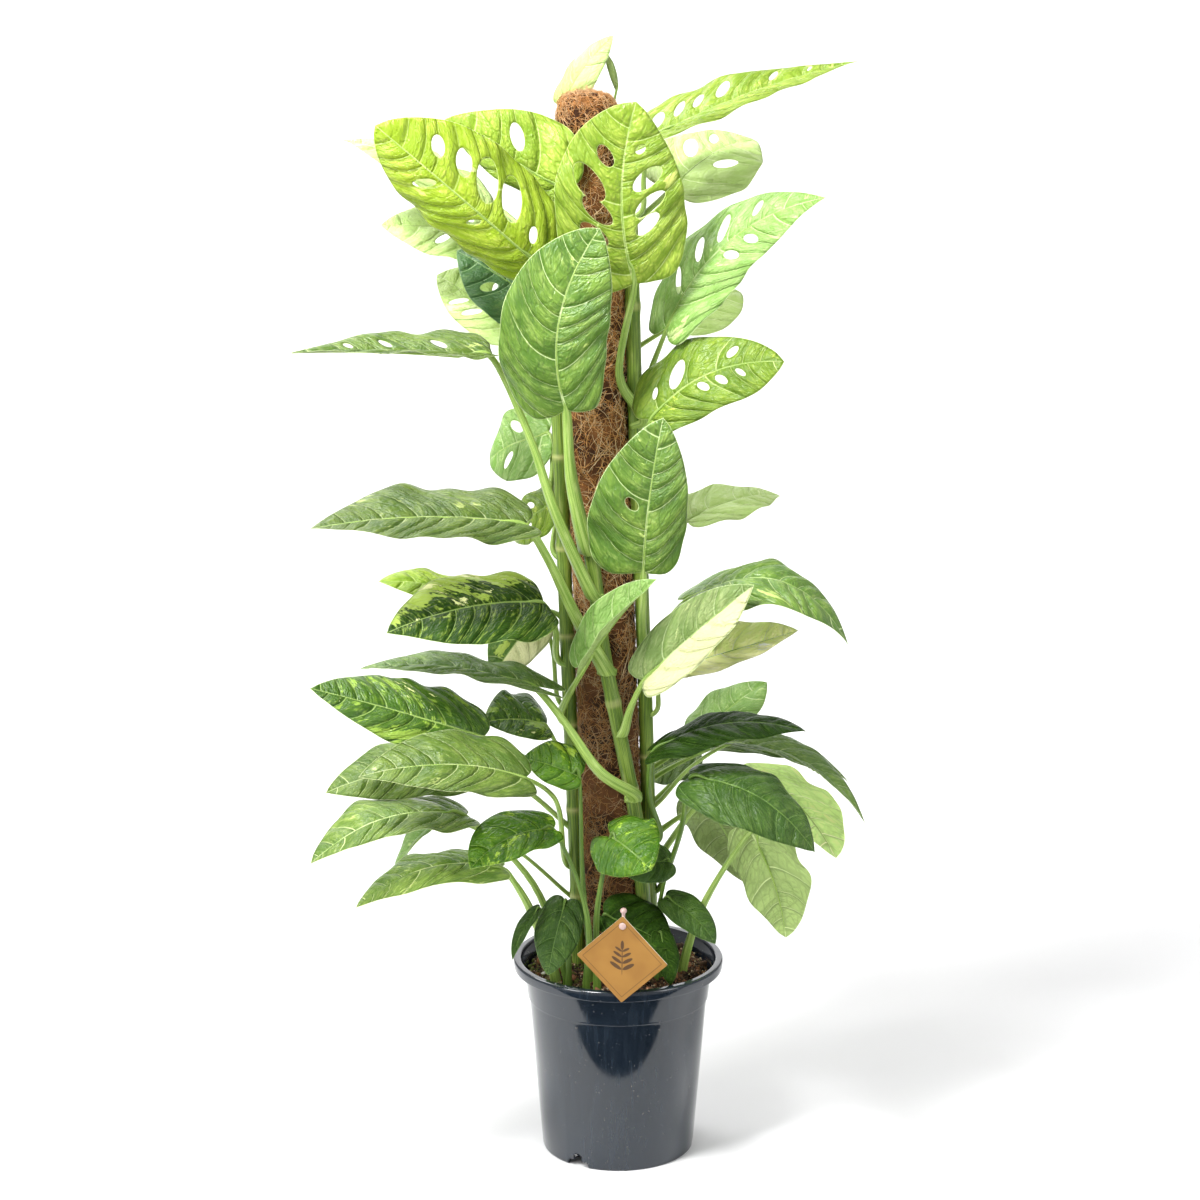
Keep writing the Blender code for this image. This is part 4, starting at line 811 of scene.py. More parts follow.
def swept(path, radii, sides, shape=None):
    """A closed tube along the path. shape(angle, share) multiplies the radius; angle 0 is its upper side."""
    path, radii = np.asarray(path), np.asarray(radii)
    run = unit(np.gradient(path, axis=0))
    side = unit(np.cross(run[0], (0.0, 0.0, 1.0) if abs(run[0][2]) < 0.9 else (0.0, -1.0, 0.0)))
    angles = round_angles(sides)
    share = np.linspace(0, 1, len(path))
    rings = []
    for i, place in enumerate(path):
        side = unit(side - side @ run[i] * run[i])
        up = np.cross(side, run[i])
        wide = shape(angles, share[i]) if shape else 1.0
        radius = (radii[i] * wide * np.ones(sides))[:, None]
        rings.append(place + radius * (np.cos(angles)[:, None] * up + np.sin(angles)[:, None] * side))
    points = np.vstack([*rings, path[:1], path[-1:]])
    faces = []
    for i in range(len(path) - 1):
        for j in range(sides):
            a, b = i * sides + j, i * sides + (j + 1) % sides
            faces.append((a, b, b + sides, a + sides))
    low, high = len(path) * sides, len(path) * sides + 1
    last = low - sides
    faces += [(low, (j + 1) % sides, j) for j in range(sides)]
    faces += [(high, last + j, last + (j + 1) % sides) for j in range(sides)]
    lengths = np.concatenate([[0], np.cumsum(np.linalg.norm(np.diff(path, axis=0), axis=1))]) * OWN_SCALE
    own = [(math.cos(a), math.sin(a), d) for d in lengths for a in angles]
    return points, faces, np.array([*own, (0, 0, 0), (0, 0, lengths[-1])])


def stalk_section(angles, share):
    """A channel on the upper side, and a sheath on both sides of the lower half."""
    channel = 1.0 - 0.30 * np.exp(-(np.minimum(angles, 2 * np.pi - angles) / 0.5) ** 2)
    near_side = np.exp(-((np.abs(np.sin(angles)) - 1.0) / 0.22) ** 2)
    sheath = SHEATH * near_side * np.clip(1 - share / 0.55, 0, 1) ** 0.6
    return channel * (1.0 + sheath)


def join_pieces(name, pieces):
    """One smoothly shaded object from several pieces, each with its points, faces, attributes and finish."""
    points, faces, materials, indices = [], [], [], []
    values = {}
    first = 0
    for part_points, part_faces, attributes, material in pieces:
        if material not in materials:
            materials.append(material)
        points.append(part_points)
        faces += [tuple(int(c) + first for c in face) for face in part_faces]
        indices += [materials.index(material)] * len(part_faces)
        for label, data in attributes.items():
            values.setdefault(label, []).append((first, data))
        first += len(part_points)
    mesh = bpy.data.meshes.new(name)
    mesh.from_pydata(np.vstack(points).tolist(), [], faces)
    mesh.polygons.foreach_set("material_index", indices)
    for label, parts in values.items():
        wide = parts[0][1].ndim == 2
        layer = mesh.attributes.new(label, "FLOAT_VECTOR" if wide else "FLOAT", "POINT")
        whole = np.zeros((first, 3) if wide else first, np.float32)
        for begin, data in parts:
            whole[begin:begin + len(data)] = data
        layer.data.foreach_set("vector" if wide else "value", whole.ravel())
    for material in materials:
        mesh.materials.append(material)
    mesh.shade_smooth()
    mesh.validate()
    return new_object(name, mesh)


print("width of a stalk low down, to the side:", round(float(stalk_section(np.pi / 2, 0.0)), 2), "radii")

# %% [markdown]
# The vines and the pole share one axis, which leans a little to the viewer's left. A vine lies against the
# coir and turns slowly round it as it climbs, with a ring at each node where a leaf was once attached.

# %% Pole axis and vines
POLE_RADIUS = 33 * MM
POLE_TOP = 1205 * MM
POLE_FOOT_X = 5 * MM
POLE_LEAN = math.radians(-1.9)
SOIL_LEVEL = 215 * MM
BURIED = 45 * MM
STEM_RADIUS = 7.5 * MM
STEM_GAP = 2.2 * MM
STALK_STEPS = 7
# Each vine stem: the angle round the pole in degrees at a few heights in millimetres.
# -90 is the side towards the viewer, 180 the viewer's left and 0 the viewer's right.
STEMS = {
    "vine_front": ((150, -32), (300, -38), (400, -48), (500, -72), (600, -94), (680, -102), (735, -112)),
    "vine_left": ((150, 176), (300, 168), (480, 172), (640, 178), (800, 184), (950, 180), (1052, 174)),
    "vine_right": ((150, 22), (330, 14), (500, 2), (650, -8), (800, -18), (940, -12), (1090, -6)),
    "vine_back": ((150, 96), (350, 88), (600, 80), (850, 96), (1010, 86), (1130, 92)),
}


def pole_axis(height):
    return np.array([POLE_FOOT_X + math.tan(POLE_LEAN) * height, 0.0, height]) + AXIS


def stem_point(name, height_mm):
    """A point on a vine's own axis."""
    heights, angles = zip(*STEMS[name])
    angle = math.radians(np.interp(height_mm, heights, angles))
    reach = POLE_RADIUS + STEM_RADIUS + STEM_GAP
    return pole_axis(height_mm * MM) + reach * np.array([math.cos(angle), math.sin(angle), 0.0])


def petiole_path(leaf, blade):
    """From inside the stem or the soil up to the blade, and on under its midrib, with the radii."""
    if leaf.root[0] == "soil":
        x, y = leaf.root[1] * MM + AXIS[0], leaf.root[2] * MM + AXIS[1]
        start = [np.array([x, y, SOIL_LEVEL - BURIED]), np.array([x, y, SOIL_LEVEL + 8 * MM])]
    else:
        centre = stem_point(*leaf.root)
        out = unit((centre - pole_axis(centre[2])) * (1, 1, 0))
        aim = unit((blade.base - centre) * (1, 1, 0))
        away = unit(out + 0.7 * aim)
        start = [centre, centre + away * 14 * MM + np.array([0.0, 0.0, 12 * MM])]
    middle = [np.array(p) * MM + AXIS for p in leaf.via]
    if not middle:
        meet = 0.5 * (start[-1] + blade.base)
        middle = [meet - 0.06 * np.linalg.norm(blade.base - start[-1]) * blade.along]
    size = min(1.0, 0.4 + sum(leaf.halves) / 200) * leaf.stalk
    under = -0.85 * size * blade.face * MM
    end = [blade.spine(0.0) + 3.0 * under, blade.spine(0.14) + 1.4 * under]
    path = smooth_path([*start, *middle, *end], STALK_STEPS)
    radii = size * np.interp(np.linspace(0, 1, len(path)), (0, 0.25, 0.75, 1), (5.2, 4.2, 3.0, 1.2)) * MM
    shares = np.linspace(0.17, 0.96, 22)
    places, normals = blade.points(shares, np.full(len(shares), 1e-7))
    rib = size * 1.9 * (1 - shares) * MM + 0.3 * MM
    ribs = places - normals * (MIDRIB_DEPTH * (1 - 0.7 * shares) + 0.75 * rib)[:, None]
    return np.vstack([path, ribs]), np.concatenate([radii, rib]), len(path)


print("the pole's axis at the soil and at its top:", *(pole_axis(z).round(4) for z in (SOIL_LEVEL, POLE_TOP)))

# %% [markdown]
# The leaves aren't all one green. Those at the crown are lime and let light through, and the pale finish is
# lighter partly to paint that glow into the colour. The old ones low down are dark and glossy, and the
# marbling runs from lime to cream. Each finish below names the colours that one sort of leaf shows, and one
# function turns
# it into a material: a body colour with soft changes and painted shade by the veins, lime and cream blotches
# along the veins, pale side veins, and a paler underside with raised veins.

# %% Leaf finishes
# Colours are given in screen values. lime_from and cream_from are the heights of the marbling's noise where
# lime and cream begin: the lower, the more of it. vein_show, fleck and net are shares. half is 1 or -1 where
# the right or left half is all cream, and side where the right or left half is richer in marbling.
Finish = namedtuple(
    "Finish",
    "body deep lime lime_from cream cream_from vein vein_show under rough half side fleck net shine",
    defaults=(0.9, (228, 234, 178), 0.9, (168, 200, 120), 0.75, (170, 196, 120), 0.34, 0, 0, 0.3, 0.4, 0.35),
)
FINISHES = {
    "plain": Finish(
        (114, 144, 56), (70, 104, 32), (172, 192, 104), 0.62, vein=(198, 214, 154), rough=0.32, shine=0.5),
    "sunlit": Finish(
        (184, 202, 70), (138, 168, 30), (206, 220, 112), 0.60, vein=(206, 224, 140), vein_show=0.5,
        under=(190, 212, 96), net=0.75),
    "lime": Finish(
        (180, 200, 80), (120, 152, 38), (204, 216, 112), 0.60, vein=(202, 222, 140), under=(170, 200, 88),
        net=0.65),
    # pale is for leaves at the crown and the back: partly their own paler green, and partly painted light
    # shining through them from behind
    "pale": Finish(
        (204, 224, 152), (178, 208, 118), (222, 238, 176), 0.58, vein=(230, 242, 190),
        under=(206, 226, 150), rough=0.5),
    "soft": Finish(
        (152, 184, 108), (112, 152, 66), (186, 208, 134), 0.58, vein=(204, 222, 164),
        under=(176, 202, 122)),
    "fresh": Finish((144, 172, 56), (96, 130, 32), (186, 202, 84), 0.57, vein=(196, 212, 130)),
    "grey": Finish(
        (126, 150, 66), (76, 106, 34), (180, 196, 112), 0.60, vein=(208, 220, 158), rough=0.32, shine=0.4),
    "blue": Finish((88, 122, 78), (58, 94, 50), (126, 158, 88), 0.62, vein=(146, 176, 124)),
    "dark": Finish(
        (56, 88, 26), (34, 58, 14), (100, 134, 48), 0.66, (196, 204, 120), 0.74, vein=(84, 116, 48),
        under=(140, 168, 84), rough=0.36, shine=0.06),
    "dusk": Finish(
        (78, 108, 44), (52, 82, 28), (128, 156, 78), 0.62, (190, 204, 130), 0.72, vein=(112, 144, 76),
        under=(150, 178, 96), rough=0.3, shine=0.25),
    "marbled": Finish(
        (78, 112, 34), (48, 80, 20), (134, 164, 62), 0.53, (226, 230, 160), 0.585, vein=(158, 184, 104),
        rough=0.3, fleck=0.5),
    "marbled_right": Finish(
        (60, 90, 26), (34, 60, 14), (164, 188, 82), 0.57, (228, 232, 164), 0.60, vein=(158, 184, 104),
        rough=0.34, side=1, fleck=0.5, shine=0.1),
    "gloss": Finish(
        (84, 126, 26), (54, 94, 16), (154, 186, 56), 0.56, vein=(140, 174, 72), rough=0.26, net=0.2),
    "cream": Finish(
        (150, 166, 108), (106, 132, 68), (178, 192, 130), 0.64, (200, 202, 150), 0.9,
        vein=(188, 206, 150), half=1),
    "cream_left": Finish(
        (104, 140, 52), (72, 108, 32), (172, 194, 84), 0.54, (230, 230, 176), 0.6, vein=(186, 204, 130),
        half=-1),
    "below": Finish(
        (150, 178, 92), (116, 150, 64), (186, 206, 120), 0.6, vein=(204, 220, 156), under=(174, 198, 122),
        rough=0.5),
}
# Shares of blotch, streak and region in the marbling, and how much one half is favoured for lime and cream
BLOTCH_SHARE, STREAK_SHARE, REGION_SHARE = 0.62, 0.14, 0.24
LIME_SIDE, CREAM_SIDE = 0.24, 0.10
BRIGHTEST = (0.92, 0.92, 0.92)


def leaf_material(name, finish):
    material, tree, shader = new_finish(name, finish.rough, Specular_IOR_Level=finish.shine)
    body, deep, lime, cream, vein, below = (
        srgb(*c) for c in (finish.body, finish.deep, finish.lime, finish.cream, finish.vein, finish.under))
    along, across, edge = split(attribute(tree, "blade"))
    count, seed, light = split(attribute(tree, "leaf"))
    under = attribute(tree, "under", "Fac")
    veins = use_group(tree, SIDE_VEINS, Along=along, Across=across, Count=count, Seed=seed)
    marks = use_group(tree, MARBLING, Run=veins["Run"], Across=across, Seed=seed)
    soft, grain = cloud(position(tree), 26, 4), cloud(position(tree), 900, 2)
    blotch, streak, region = marks["Blotch"], marks["Streak"], marks["Region"]
    from_midrib = abs(across)
    near = 1.0 - veins["Swell"]

    # The green of the upper side. Painted shade deepens it near the veins, in the valley beside each and
    # beside the sunken midrib. The streaks and the net of small veins are its own deeper green.
    colour = blend(ramp(soft, 0.35, 0.68), body, deep)
    for share, amount in (
        (near, 0.30), (veins["Valley"], 0.60), (ramp(from_midrib, 0.12, 0.03), 0.45),
        (ramp(streak, 0.50, 0.32), 0.45), (marks["Net"], finish.net), (marks["Fine Net"], finish.net * 0.8),
    ):
        colour = blend(share * amount, colour, deep)
    colour = blend(ramp(streak, 0.50, 0.70) * finish.fleck, colour, lime)

    # Marbling in lime and cream
    pattern = blotch * BLOTCH_SHARE + streak * STREAK_SHARE
    rich = region * REGION_SHARE
    limy = pattern + rich + across * (LIME_SIDE * finish.side)
    colour = blend(ramp(limy, finish.lime_from, finish.lime_from + 0.03), colour, lime)
    creamy = (BLOTCH_SHARE + STREAK_SHARE) - pattern + rich + across * (CREAM_SIDE * finish.side)
    cream_share = ramp(creamy, finish.cream_from, finish.cream_from + 0.02)
    if finish.half:
        reach = across * finish.half + (blotch - 0.5) * 0.12
        cream_share = cream_share.math("MAXIMUM", ramp(reach, 0.0, 0.02))
    colour = blend(cream_share, colour, cream)

    # Pale side veins and midrib, a dark line inside the edge and a pale margin
    drawn = veins["Vein"] * finish.vein_show * ramp(from_midrib, 1.05, 0.55)
    midrib = 1.0 - ramp(along * 0.016 + from_midrib, 0.016, 0.030)
    drawn = drawn.math("MAXIMUM", midrib * 0.75)
    colour = blend(drawn, colour, vein)
    colour = blend(ramp(edge, 0.5, 0.9) * ramp(edge, 3.2, 1.2) * 0.45, colour, deep)
    colour = blend((1.0 - ramp(edge, 0.3, 0.8)) * 0.7, colour, vein)

    # The underside is paler. Painted shade darkens it in its valleys, near the veins and beside the midrib.
    # The net and the streaks are its own darker marks.
    back = blend(ramp(soft, 0.3, 0.7), below, darker(below, 0.8))
    for share, amount in (
        (near, 0.35), (veins["Valley"], 0.7), (marks["Net"], 0.35), (ramp(from_midrib, 0.10, 0.03), 0.5),
        (ramp(streak, 0.50, 0.30), 0.4),
    ):
        back = blend(share * amount, back, darker(below, 0.45))
    back = blend(drawn, back, vein)
    colour = blend(under * 0.8, colour, back)

    # Each leaf's light factor: partly its own tone, and partly painted light that brightens leaves lying in
    # shade
    colour = add(tree, "ShaderNodeVectorMath", {0: colour, 3: light}, operation="SCALE")
    colour = add(tree, "ShaderNodeVectorMath", {0: colour, 1: BRIGHTEST}, operation="MINIMUM")
    height = streak * 1.8
    for share, amount in ((grain, 0.2), (veins["Swell"], 1.4), (veins["Valley"], -0.8), (marks["Net"], -0.55),
                          (marks["Fine Net"], -0.35)):
        height = share * amount + height
    feed(shader, {
        "Base Color": colour,
        "Roughness": soft * 0.16 + (finish.rough - 0.08) + under * 0.15,
        "Normal": bump(height, 0.8 * MM),
    })
    return material


LEAF_MATERIALS = {name: leaf_material("leaf_" + name, finish) for name, finish in FINISHES.items()}
print("leaf finishes:", len(LEAF_MATERIALS))

# %% [markdown]
# Stalks and vines are smooth and juicy, with fine streaks along their length. Noise that is stretched
# along the stem gives the streaks, and it is read from the stem's own coordinates, round and along.

# %% Stem finish
def stem_material(name, light, dark, scar):
    material, tree, shader = new_finish(name, 0.38, Specular_IOR_Level=0.5)
    own = attribute(tree, "stem")
    streak = cloud(stretch(own, (7.0, 7.0, 0.5)), 1.6, 4, 0.6)
    colour = blend(ramp(streak, 0.42, 0.56), light, dark)
    colour = blend(ramp(cloud(own, 1.1, 3), 0.55, 0.75) * 0.6, colour, scar)
    colour = blend(attribute(tree, "ring", "Fac"), colour, srgb(188, 190, 120))
    feed(shader, {"Base Color": colour, "Normal": bump(streak, 0.4 * MM, 0.5)})
    return material


STALK_GREEN = stem_material("stalk_green", srgb(172, 198, 104), srgb(116, 152, 58), srgb(196, 212, 136))
STALK_DEEP = stem_material("stalk_deep", srgb(118, 150, 62), srgb(74, 106, 34), srgb(150, 174, 92))
VINE_GREEN = stem_material("vine_green", srgb(134, 160, 62), srgb(78, 108, 34), srgb(168, 178, 100))
print("stem finishes:", STALK_GREEN.name, STALK_DEEP.name, VINE_GREEN.name)

# %% [markdown]
# Every leaf is now made from its facts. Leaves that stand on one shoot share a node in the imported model,
# so they become one piece here too. The seed of each leaf is its place in the list, so no two leaves have
# the same marbling, and each run gives the same plant.

# %% Grow the leaves
DARK_SORTS = ("dark", "dusk", "gloss", "blue")
STALK_SIDES = 10


def grow_leaf(leaf, seed):
    """The two pieces of one leaf: its blade, and its stalk with the midrib."""
    blade = Blade(leaf)
    points, faces, own, under = fine_blade(blade, seed)
    facts = np.tile([blade.vein_count, seed * SEED_STEP, leaf.light], (len(points), 1))
    path, radii, joint = petiole_path(leaf, blade)

    def section(angles, share):
        index = int(round(share * (len(path) - 1)))
        return stalk_section(angles, index / joint) if index < joint else np.ones(len(angles))

    stalk_points, stalk_faces, stalk_own = swept(path, radii, STALK_SIDES, section)
    stalk = STALK_DEEP if leaf.sort in DARK_SORTS else STALK_GREEN
    return [
        (points, faces, {"blade": own, "leaf": facts, "under": under}, LEAF_MATERIALS[leaf.sort]),
        (stalk_points, stalk_faces, {"stem": stalk_own}, stalk),
    ]


def grow_all():
    shoots = {}
    for seed, leaf in enumerate(LEAVES):
        shoots.setdefault(leaf.name, []).extend(grow_leaf(leaf, seed))
    total = 0
    for name, pieces in shoots.items():
        obj = join_pieces("fine_" + name, pieces)
        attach(obj, "root")
        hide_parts(name)
        total += len(obj.data.polygons)
    return len(shoots), total


print("leaf pieces and faces:", grow_all())

# %% [markdown]
# The four vines are thick as a finger. At each node a pale ring with a slight swelling goes round the
# stem. They are swept along the same path as the solids, with many more rings.

# %% Grow the vines
NODE_SPACING_MM = 102
NODE_AT_MM = 30
VINE_FOOT_MM = 190
VINE_STEP_MM = 4.0
VINE_SIDES = 18


def grow_vine(name, seed):
    top = STEMS[name][-1][0]
    levels = np.arange(VINE_FOOT_MM, top + 1, VINE_STEP_MM)
    path = np.array([stem_point(name, level) for level in levels])
    for axis in (0, 1):
        padded = np.pad(path[:, axis], 4, mode="edge")
        path[:, axis] = np.convolve(padded, np.ones(9) / 9, mode="valid")
    from_node = (levels + 37 * seed) % NODE_SPACING_MM - NODE_AT_MM
    swell = np.exp(-(from_node / 6) ** 2)
    radii = STEM_RADIUS * (1.10 + 0.14 * swell) * np.clip((top + 12 - levels) / 40, 0.6, 1.0)
    points, faces, own = swept(path, radii, VINE_SIDES)
    ring = np.concatenate([np.repeat(np.exp(-(from_node / 2.2) ** 2), VINE_SIDES), [0, 0]])
    obj = join_pieces("fine_" + name, [(points, faces, {"stem": own, "ring": ring}, VINE_GREEN)])
    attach(obj, "root")
    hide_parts(name)


for seed, name in enumerate(STEMS):
    grow_vine(name, seed)
print("vines:", list(STEMS))

# %% [markdown]
# The pole is coconut fibre, pressed round a core. From close by it is a felt of coarse hairs that lie
# every way, with a few paler ones that stand off, and its top is a loose cushion. A bumpy sleeve gives the
# body and the shadow between the hairs. Thousands of short three-sided strands lie on it. Making them one by
# one would be slow, so one helper sweeps all strands of a kind at once with numpy.

# %% Strands
STRAND_SIDES = 3


def strands(paths, radii, tones, material):
    """One piece of many thin closed tubes. paths is (strand, point, xyz) and radii is (strand, point)."""
    run = unit(np.gradient(paths, axis=1))
    side = unit(np.cross(run, (0.31, 0.57, 0.76)))
    up = np.cross(side, run)
    angles = round_angles(STRAND_SIDES)
    around = np.cos(angles)[:, None] * up[:, :, None] + np.sin(angles)[:, None] * side[:, :, None]
    points = paths[:, :, None] + radii[..., None, None] * around
    index = np.arange(points[..., 0].size).reshape(points.shape[:3])
    after = np.roll(index, -1, axis=2)
    sheet = np.stack([index[:, :-1], after[:, :-1], after[:, 1:], index[:, 1:]], axis=-1).reshape(-1, 4)
    faces = [*sheet.tolist(), *index[:, 0, ::-1].tolist(), *index[:, -1].tolist()]
    return points.reshape(-1, 3), faces, {"tone": np.repeat(tones, index[0].size)}, material


print("strands ready, with", STRAND_SIDES, "sides each")

# %% [markdown]
# Coir shows three browns. Each hair has a tone of its own, and slow noise shifts the tones in patches. Low
# down it is painted darker, as shade among the vines and leaves and some moisture. The cushion at the top is
# painted darker than the sides, as shade that tones down the lamp above it.

# %% Coir finish
def coir_material(name, dark, middle, light, rough=0.9, top=0.3):
    material, tree, shader = new_finish(name, rough, Specular_IOR_Level=0.2)
    place = position(tree)
    grain = cloud(place, 700, 3, 0.7)
    share = (cloud(place, 45, 4) - 0.5) * 0.9 + attribute(tree, "tone", "Fac")
    height = split(place)[2]
    colour = blend(ramp(share, 0.1, 0.55), dark, middle)
    colour = blend(ramp(share, 0.6, 1.0), colour, light)
    colour = blend(grain * 0.35, colour, dark)
    # Painted shade: darker low down among the vines and leaves, and darker on the top cushion by the share
    # top
    colour = blend(ramp(height, 0.80, 0.55) * 0.55, colour, darker(dark, 0.3))
    colour = blend(ramp(height, 1.10, 1.17) * top, colour, dark)
    feed(shader, {"Base Color": colour, "Normal": bump(grain, 0.8 * MM, 0.7)})
    return material


# top is the share of painted shade on the cushion at the top
COIR_FELT = coir_material("coir_felt", srgb(56, 32, 16), srgb(140, 92, 52), srgb(188, 136, 84), top=0.85)
COIR_HAIR = coir_material(
    "coir_hair", srgb(176, 116, 62), srgb(248, 192, 122), srgb(255, 232, 188), rough=0.7, top=0.45)
print("coir finishes:", COIR_FELT.name, COIR_HAIR.name)

# %% [markdown]
# Hairs are easiest to lay out on the pole as on a map: an angle round it, and a distance from the middle
# of its top, over the rounded edge and down the side. One function carries such places into space.

# %% The pole's surface
# The rounding of the top: share of the pole's radius, and millimetres below the top
POLE_DOME = ((0.0, 0.0), (0.45, 1.0), (0.8, 6.0), (0.96, 15.0), (1.0, 30.0))
SLOPE_STEP = 2 * MM


def pole_profile():
    """Distance from the top's middle along the surface, with the radius and height there."""
    radius = [share * POLE_RADIUS for share, _ in POLE_DOME] + [POLE_RADIUS]
    height = [POLE_TOP - depth * MM for _, depth in POLE_DOME] + [SOIL_LEVEL - 12 * MM]
    gaps = np.hypot(np.diff(radius), np.diff(height))
    return np.concatenate([[0.0], np.cumsum(gaps)]), np.array([radius, height])


RUN, RUN_PLACES = pole_profile()


def at_run(distance):
    """Radius and height at distances from the middle of the top."""
    return np.array([np.interp(distance, RUN, places) for places in RUN_PLACES])


def on_pole(angle, distance, lift):
    """Places on the pole, at an angle round it, a distance from its top, and a lift off its surface."""
    slope = at_run(distance + SLOPE_STEP) - at_run(distance - SLOPE_STEP)
    slope = slope / np.maximum(np.hypot(*slope), 1e-9)
    radius, height = at_run(distance) + lift * np.array([-slope[1], slope[0]])
    x = AXIS[0] + POLE_FOOT_X + math.tan(POLE_LEAN) * height + radius * np.cos(angle)
    return np.stack([x, AXIS[1] + radius * np.sin(angle), height], axis=-1)


print("surface of the pole, from the middle of its top to the soil:", round(RUN[-1], 3), "m")

# %% [markdown]
# The hairs come in four sorts: two layers that lie on the felt, a few long or proud ones, and pale ones
# that stand off by one end. The two thick layers are pieces of their own, so no piece grows too heavy.

# %% Make the pole
POLE_ROUND = 120
POLE_RINGS = 330
DOME_RINGS = 24
FELT_BUMPS = 1.7 * MM
HAIR_COUNT = 10400
HAIR_POINTS = 6
HAIR_TAPER = np.array([0.5, 0.9, 1, 1, 0.9, 0.45])
HIGHEST_HAIR = 2 * MM
CROWDED_RUN = 36 * MM
DOME_RUN = 60 * MM


def wrapped(rings, sides):
    """The numbers of a grid of points that goes round an axis, and the four-sided faces between them."""
    index = np.arange(rings * sides).reshape(rings, sides)
    after = np.roll(index, -1, axis=1)
    faces = np.stack([index[:-1], index[1:], after[1:], after[:-1]], axis=-1).reshape(-1, 4)
    return index, faces.tolist()


def make_sleeve():
    dome = np.linspace(0.5, 60, DOME_RINGS) * MM
    around, down = np.meshgrid(round_angles(POLE_ROUND), [*dome, *np.linspace(62 * MM, RUN[-1], POLE_RINGS)])
    smooth = on_pole(around, down, 0.0).reshape(-1, 3)
    bumps = (waves_at(smooth, 55) + 0.6 * waves_at(smooth, 160)) * FELT_BUMPS + 0.4 * MM
    points = on_pole(around, down, bumps.reshape(down.shape)).reshape(-1, 3)
    index, faces = wrapped(*down.shape)
    faces += [index[0].tolist(), index[-1, ::-1].tolist()]
    return points, faces, {"tone": 0.35 + 0.5 * waves_at(points, 30)}, COIR_FELT


def make_hairs(count, length, lift, radius, tone, seed, lowest=RUN[-1] - 6 * MM):
    """Hairs that lie on the pole with their ends tucked in, or standing off where lift says so."""
    dice = np.random.default_rng(seed)
    start = dice.uniform(HIGHEST_HAIR, lowest, count)[:, None]
    start = np.where(start < CROWDED_RUN, np.sqrt(CROWDED_RUN * start), start)
    angle = dice.uniform(0, 2 * np.pi, (count, 1))
    heading = dice.uniform(0, 2 * np.pi, (count, 1))
    share = np.linspace(-0.5, 0.5, HAIR_POINTS)
    turn = heading + dice.normal(0, 1.1, (count, 1)) * share
    reach = dice.uniform(*length, (count, 1)) * MM * share
    down = np.clip(start + reach * np.cos(turn), 1 * MM, RUN[-1])
    around = angle + reach * np.sin(turn) / np.maximum(at_run(down)[0], 7 * MM)
    loose = dice.uniform(*lift, (count, 1)) * MM
    wander = dice.normal(0, 0.35, (count, HAIR_POINTS)) * MM
    paths = on_pole(around, down, loose * (np.cos(np.pi * share) - 0.35) + wander)
    thick = dice.uniform(*radius, (count, 1)) * MM * HAIR_TAPER
    return strands(paths, thick, np.clip(dice.normal(tone, 0.34, count), 0, 1.2), COIR_HAIR)


def free_ends(count, seed, lowest=RUN[-1] - 30 * MM):
    """Pale hairs that stand off the pole by one end."""
    dice = np.random.default_rng(seed)
    share = np.linspace(0, 1, HAIR_POINTS)
    down = dice.uniform(HIGHEST_HAIR, lowest, (count, 1)) + dice.normal(0, 9 * MM, (count, 1)) * share
    around = dice.uniform(0, 2 * np.pi, (count, 1)) + dice.normal(0, 0.35, (count, 1)) * share
    away = dice.uniform(2, 9, (count, 1)) * MM * share**1.4
    paths = on_pole(around, np.clip(down, 1 * MM, RUN[-1]), away)
    thick = dice.uniform(0.14, 0.26, (count, 1)) * MM * (1 - 0.7 * share)
    return strands(paths, thick, dice.uniform(0.7, 1.2, count), COIR_HAIR)


def place_coir(name, *pieces):
    obj = join_pieces(name, pieces)
    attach(obj, "root")
    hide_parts("coir_pole")
    print(name, "faces:", len(obj.data.polygons))


place_coir("coir_sleeve", make_sleeve())
place_coir("coir_hairs_lying", make_hairs(HAIR_COUNT // 2, (22, 60), (0.2, 2.4), (0.2, 0.4), 0.55, 11))
place_coir("coir_hairs_loose", make_hairs(HAIR_COUNT // 2, (16, 44), (0.6, 3.8), (0.16, 0.34), 0.62, 12))
place_coir(
    "coir_hairs_proud",
    make_hairs(160, (12, 34), (1.5, 6.5), (0.2, 0.36), 0.6, 13, DOME_RUN),
    make_hairs(420, (40, 95), (1.0, 4.5), (0.28, 0.5), 1.0, 14),
    free_ends(1300, 15),
    free_ends(260, 16, 42 * MM),
)

# %% [markdown]
# Inside the coir stands the stake that it is wound on, and it runs down through the compost. No side shows
# it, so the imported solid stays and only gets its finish: sawn wood. Noise that is stretched along the stake
# draws the fine grain, and a slower one the paler and darker growth.

# %% The pole's core
def stake_material():
    material, tree, shader = new_finish("sawn_stake", 0.75)
    along = stretch(position(tree), (1.0, 1.0, 0.05))
    lines = cloud(along, 300, 3)
    colour = blend(ramp(cloud(along, 60, 2), 0.35, 0.65), srgb(164, 132, 92), srgb(196, 166, 122))
    colour = blend(ramp(lines, 0.5, 0.7) * 0.6, colour, srgb(112, 80, 48))
    feed(shader, {"Base Color": colour, "Normal": bump(lines, 0.1 * MM, 0.3)})
    return material


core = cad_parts["pole_core"]
core.data.materials.clear()
core.data.materials.append(stake_material())
print("core finish:", core.data.materials[0].name)

# %% [markdown]
# Potting compost is a mix: dark peat, reddish husk chunks, crumbs, bits of bark, fine roots, a little moss
# and a grain of white perlite. A bed with gentle hills carries it. The lumps are small irregular
# polyhedra. Each one takes the same base shape, pushes its points in or out, stretches and turns it.

# %% Lumps
LUMP_ROUGHNESS = 0.22
LUMP_STRETCH = (0.65, 1.3)


